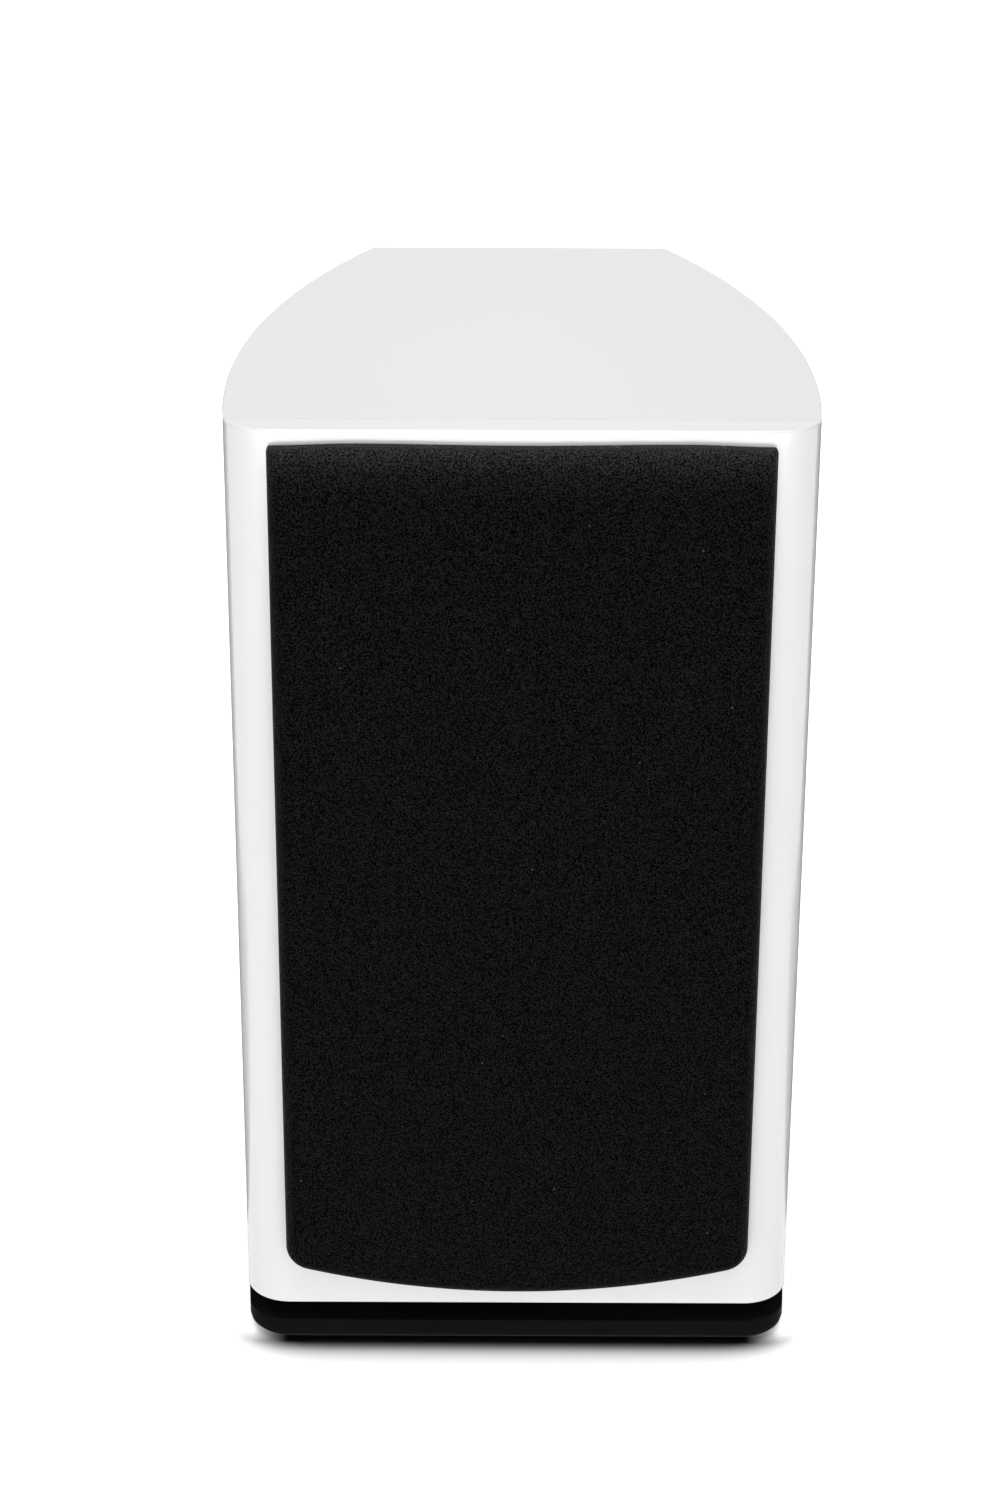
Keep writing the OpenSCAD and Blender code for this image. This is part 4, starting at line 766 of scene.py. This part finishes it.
def make_capacitors(looks):
    """Film capacitors with a rolled rim round a face that lies a little inside."""
    rim, dent, ease, pin = 0.0016, 0.0007, 0.0012, 0.0004
    lo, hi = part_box("capacitors")
    r, z, long = (hi.z - lo.z) / 2, (lo.z + hi.z) / 2, hi.x - lo.x
    for name, y in (("front", lo.y + r), ("rear", hi.y - r)):
        profile = [(pin, dent), (r - rim, dent), (r - rim, 0.0), (r - ease, 0.0)]
        profile += [(r - ease + ease * math.sin(math.radians(a)), ease - ease * math.cos(math.radians(a)))
                    for a in (30, 60, 90)]
        profile += [(p, long - s) for p, s in reversed(profile)]
        points, faces = turned_about(profile, (lo.x, y, z), "X")
        obj = new_piece("capacitor_" + name, points, faces, "cabinet", looks["film_capacitor"],
                        40)
        if name == "front":
            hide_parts("capacitors")


# ------------------------------------------------------------------ grille cloth

def grille_outline(inset, lo, hi):
    """The outline of the cloth's front, moved in: from the middle of its lower edge all the way round."""
    x, belly, top = hi.x - inset, BELLY - inset, hi.z - inset
    low_r, top_r = max(LOW_R - inset, 0.0006), max(TOP_R - inset, 0.0002)
    belly_steps, low_r_steps, side_steps, top_r_steps, top_steps = 48, 12, 90, 8, 48
    cz = lo.z + BELLY
    low_x = x - low_r
    low_z = cz - math.sqrt((belly - low_r) ** 2 - low_x ** 2)
    low_a = math.atan2(low_z - cz, low_x)
    half = []
    for i in range(belly_steps):
        a = -math.pi / 2 + (low_a + math.pi / 2) * i / belly_steps
        half.append((belly * math.cos(a), cz + belly * math.sin(a)))
    for i in range(low_r_steps):
        a = low_a - low_a * i / low_r_steps
        half.append((low_x + low_r * math.cos(a), low_z + low_r * math.sin(a)))
    for i in range(side_steps):
        half.append((x, low_z + (top - top_r - low_z) * i / side_steps))
    for i in range(top_r_steps):
        a = math.pi / 2 * i / top_r_steps
        half.append((x - top_r + top_r * math.cos(a), top - top_r + top_r * math.sin(a)))
    for i in range(top_steps + 1):
        half.append(((x - top_r) * (1 - i / top_steps), top))
    return half + [(-p[0], p[1]) for p in half[-2:0:-1]]


def make_cloth(looks):
    """One sheet: up the frame's sides, round its rim and across its front to a line in the middle."""
    lo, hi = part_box("grille_cloth")
    back, front = hi.y, lo.y
    side_steps, rim_steps, front_steps = 3, 10, 40
    loops = [(0.0, back + (front + RIM - back) * i / side_steps) for i in range(side_steps + 1)]
    for i in range(1, rim_steps + 1):
        a = math.pi / 2 * i / rim_steps
        loops.append((RIM * (1 - math.cos(a)), front + RIM * (1 - math.sin(a))))
    points = [(x, y, z) for inset, y in loops for x, z in grille_outline(inset, lo, hi)]
    ring = grille_outline(RIM, lo, hi)
    line_end = 0.085
    low, high = lo.z + line_end, hi.z - line_end
    for i in range(1, front_steps + 1):
        t = i / front_steps
        points += [(x * (1 - t), front, z + (min(max(z, low), high) - z) * t) for x, z in ring]
    # the pull of the cloth makes the top edge wave a little
    wave_zone, bend = 0.03, 0.66
    waved = []
    for x, y, z in points:
        near = max(0.0, 1 - (hi.z - z) / wave_zone)
        u = abs(x) / hi.x
        if u < bend:
            wave = -0.0003 * math.cos(math.pi * u / bend)
        else:
            wave = -0.0001 + 0.0004 * math.cos(math.pi * (u - bend) / (1 - bend))
        waved.append((x, y, z + wave * near * near))
    faces = ring_faces(len(loops) + front_steps, len(ring))
    obj = new_piece("grille_cloth_sheet", waved, faces, "grille", looks["speaker_cloth"],
                    sharp=180)
    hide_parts("grille_cloth")


# ------------------------------------------------------------------ stage and light

def floor_sheet(name, height, shaded):
    """A pale sheet of 14 by 14 m. The plain one gives light, the shaded one is what the camera sees."""
    k = Look(name, Roughness=0.9, Specular_IOR_Level=0.0, Emission_Color=(1, 1, 1, 1))
    tone = k.ramp(k.noise(0.5, 2), (0.3, 0.93), (0.7, 0.95))
    across, along = k.math("ABSOLUTE", k.axis("X")), k.axis("Y")
    if shaded:
        # the light that reaches the floor falls off under the edge of what stands on it,
        # in front of the speaker but not beside it
        near = k.node("ShaderNodeAmbientOcclusion", {"Distance": 0.020}, samples=16).outputs["AO"]
        beside = k.range(across, 0.0, 1.0, half_width - 0.011, half_width + 0.004)
        behind = k.math("MULTIPLY", k.range(along, 0.0, 1.0, front_y - 0.010, front_y + 0.010),
                        k.range(across, 0.0, 1.0, half_width - 0.018, half_width - 0.004))
        free = k.math("MAXIMUM", k.range(near, 0.0, 1.0, 0.5, 0.98), k.math("MAXIMUM", beside, behind))
        free = k.math("POWER", free, 1.27)
        tone = k.mix(free, (*grey(0.01), 1), tone)
        # it glows further out, so that no view shows where the floor ends
        far = k.math("MAXIMUM", across, k.math("ABSOLUTE", along))
        glow = k.math("MULTIPLY", free, k.range(far, 0.4, 1.0, 0.6, 3.0))
    else:
        # the floor just before the front lights its lower edge
        before = k.math("MULTIPLY", k.range(along, 0.0, 1.0, front_y - 0.08, front_y - 0.01),
                        k.range(along, 1.0, 0.0, front_y, front_y + 0.01))
        beam = k.range(across, 0.55, 0.0, half_width - 0.040, half_width + 0.015)
        patch = k.math("MULTIPLY", before, beam)
        glow = k.math("ADD", k.range(along, 0.2, 0.45, 0.8, 3.0), patch)
    k.set("Base Color", tone)
    k.set("Emission Strength", glow)
    size, n = 14.0, 24
    row = n + 1
    points = [(size * (i / n - 0.5), size * (j / n - 0.5), height) for j in range(row) for i in range(row)]
    faces = [(j * row + i, j * row + i + 1, (j + 1) * row + i + 1, (j + 1) * row + i)
             for j in range(n) for i in range(n)]
    obj = mesh_object(name, points, faces)
    dress(obj, k.material)
    return obj


def make_floor():
    floor_sheet("floor", 0.0, False)
    # only the camera sees this sheet, so its contact shadow takes no light from the front
    sheet = floor_sheet("floor_shadow", 0.0002, True)
    sheet.visible_diffuse = sheet.visible_glossy = False
    sheet.visible_shadow = sheet.visible_transmission = False


def make_world():
    """Less light comes from the sides, and the camera sees a plain white background."""
    world = bpy.data.worlds.new("world")
    world.use_nodes = True
    tree = world.node_tree
    background = tree.nodes["Background"]
    background.inputs["Color"].default_value = (1, 1, 1, 1)
    way = tree.nodes.new("ShaderNodeSeparateXYZ")
    tree.links.new(tree.nodes.new("ShaderNodeTexCoord").outputs["Generated"], way.inputs[0])
    aside = tree.nodes.new("ShaderNodeMath")
    aside.operation = "ABSOLUTE"
    tree.links.new(way.outputs["X"], aside.inputs[0])
    fade = tree.nodes.new("ShaderNodeMapRange")
    for key, value in (("From Min", 0), ("From Max", 1), ("To Min", 0.786), ("To Max", 0.131)):
        fade.inputs[key].default_value = value
    tree.links.new(aside.outputs[0], fade.inputs["Value"])
    seen = tree.nodes.new("ShaderNodeMix")
    seen.inputs["B"].default_value = 1.0
    tree.links.new(tree.nodes.new("ShaderNodeLightPath").outputs["Is Camera Ray"], seen.inputs["Factor"])
    tree.links.new(fade.outputs[0], seen.inputs["A"])
    tree.links.new(seen.outputs["Result"], background.inputs["Strength"])
    bpy.context.scene.world = world


def make_cards():
    """Dark cards beside the speaker, seen only in the lacquer's reflections, draw its outline."""
    card = Look("card", Roughness=0.9)
    card.set("Base Color", card.ramp(card.noise(0.3, 2), (0.3, 0.02), (0.7, 0.03)))
    front, back, low, top = -0.06, 0.17, 0.001, 0.375
    for side in (-1, 1):
        near, far = side * (half_width + 0.012), side * 0.5
        points = [(near, front, low), (far, front, low), (far, back, low), (near, back, low),
                  (far, back, top), (near, back, top)]
        obj = mesh_object("card", points, [(0, 1, 2, 3), (3, 2, 4, 5)])
        dress(obj, card.material)
        obj.visible_camera = obj.visible_diffuse = obj.visible_shadow = obj.visible_transmission = False


def area_light(name, at, aim, size, power, only_gloss=False):
    data = bpy.data.lights.new(name, "AREA")
    data.shape, data.energy = "RECTANGLE", power
    data.size, data.size_y = size
    obj = link(name, data)
    obj.location = at
    obj.visible_camera = False
    obj.visible_diffuse = not only_gloss
    obj.rotation_euler = (Vector(aim) - Vector(at)).to_track_quat("-Z", "Y").to_euler()


def make_lights():
    area_light("high", (0.0, -1.3, 3.4), (0, 0, 0.3), (1.6, 1.0), 14.5)
    area_light("front", (-0.2, -2.6, 0.5), (0, 0, 0.2), (1.0, 1.3), 20)
    area_light("top", (0.0, 0.2, 3.6), (0, 0, 0), (4.0, 4.0), 97)
    # a low strip box whose reflection lies along the upper edge of the front
    area_light("low_strip", (0.0, -1.05, 0.20), (0, 0, 0.20), (5.0, 0.20), 28, only_gloss=True)


def make_view():
    view = bpy.context.scene.view_settings
    view.view_transform = "Standard"
    view.look = "None"
    view.exposure = 0
    view.gamma = 1


def main():
    make_camera()
    looks = make_looks()
    for s in frame["record"]["subparts"]:
        dress(nodes[s["node"]], looks[s["material_slot"]])
    make_eased_edges(looks)
    make_surrounds(looks)
    make_spider(looks)
    make_leads(looks)
    make_foam(looks)
    make_coils(looks)
    make_capacitors(looks)
    make_cloth(looks)
    make_floor()
    make_world()
    make_cards()
    make_lights()
    make_view()


main()
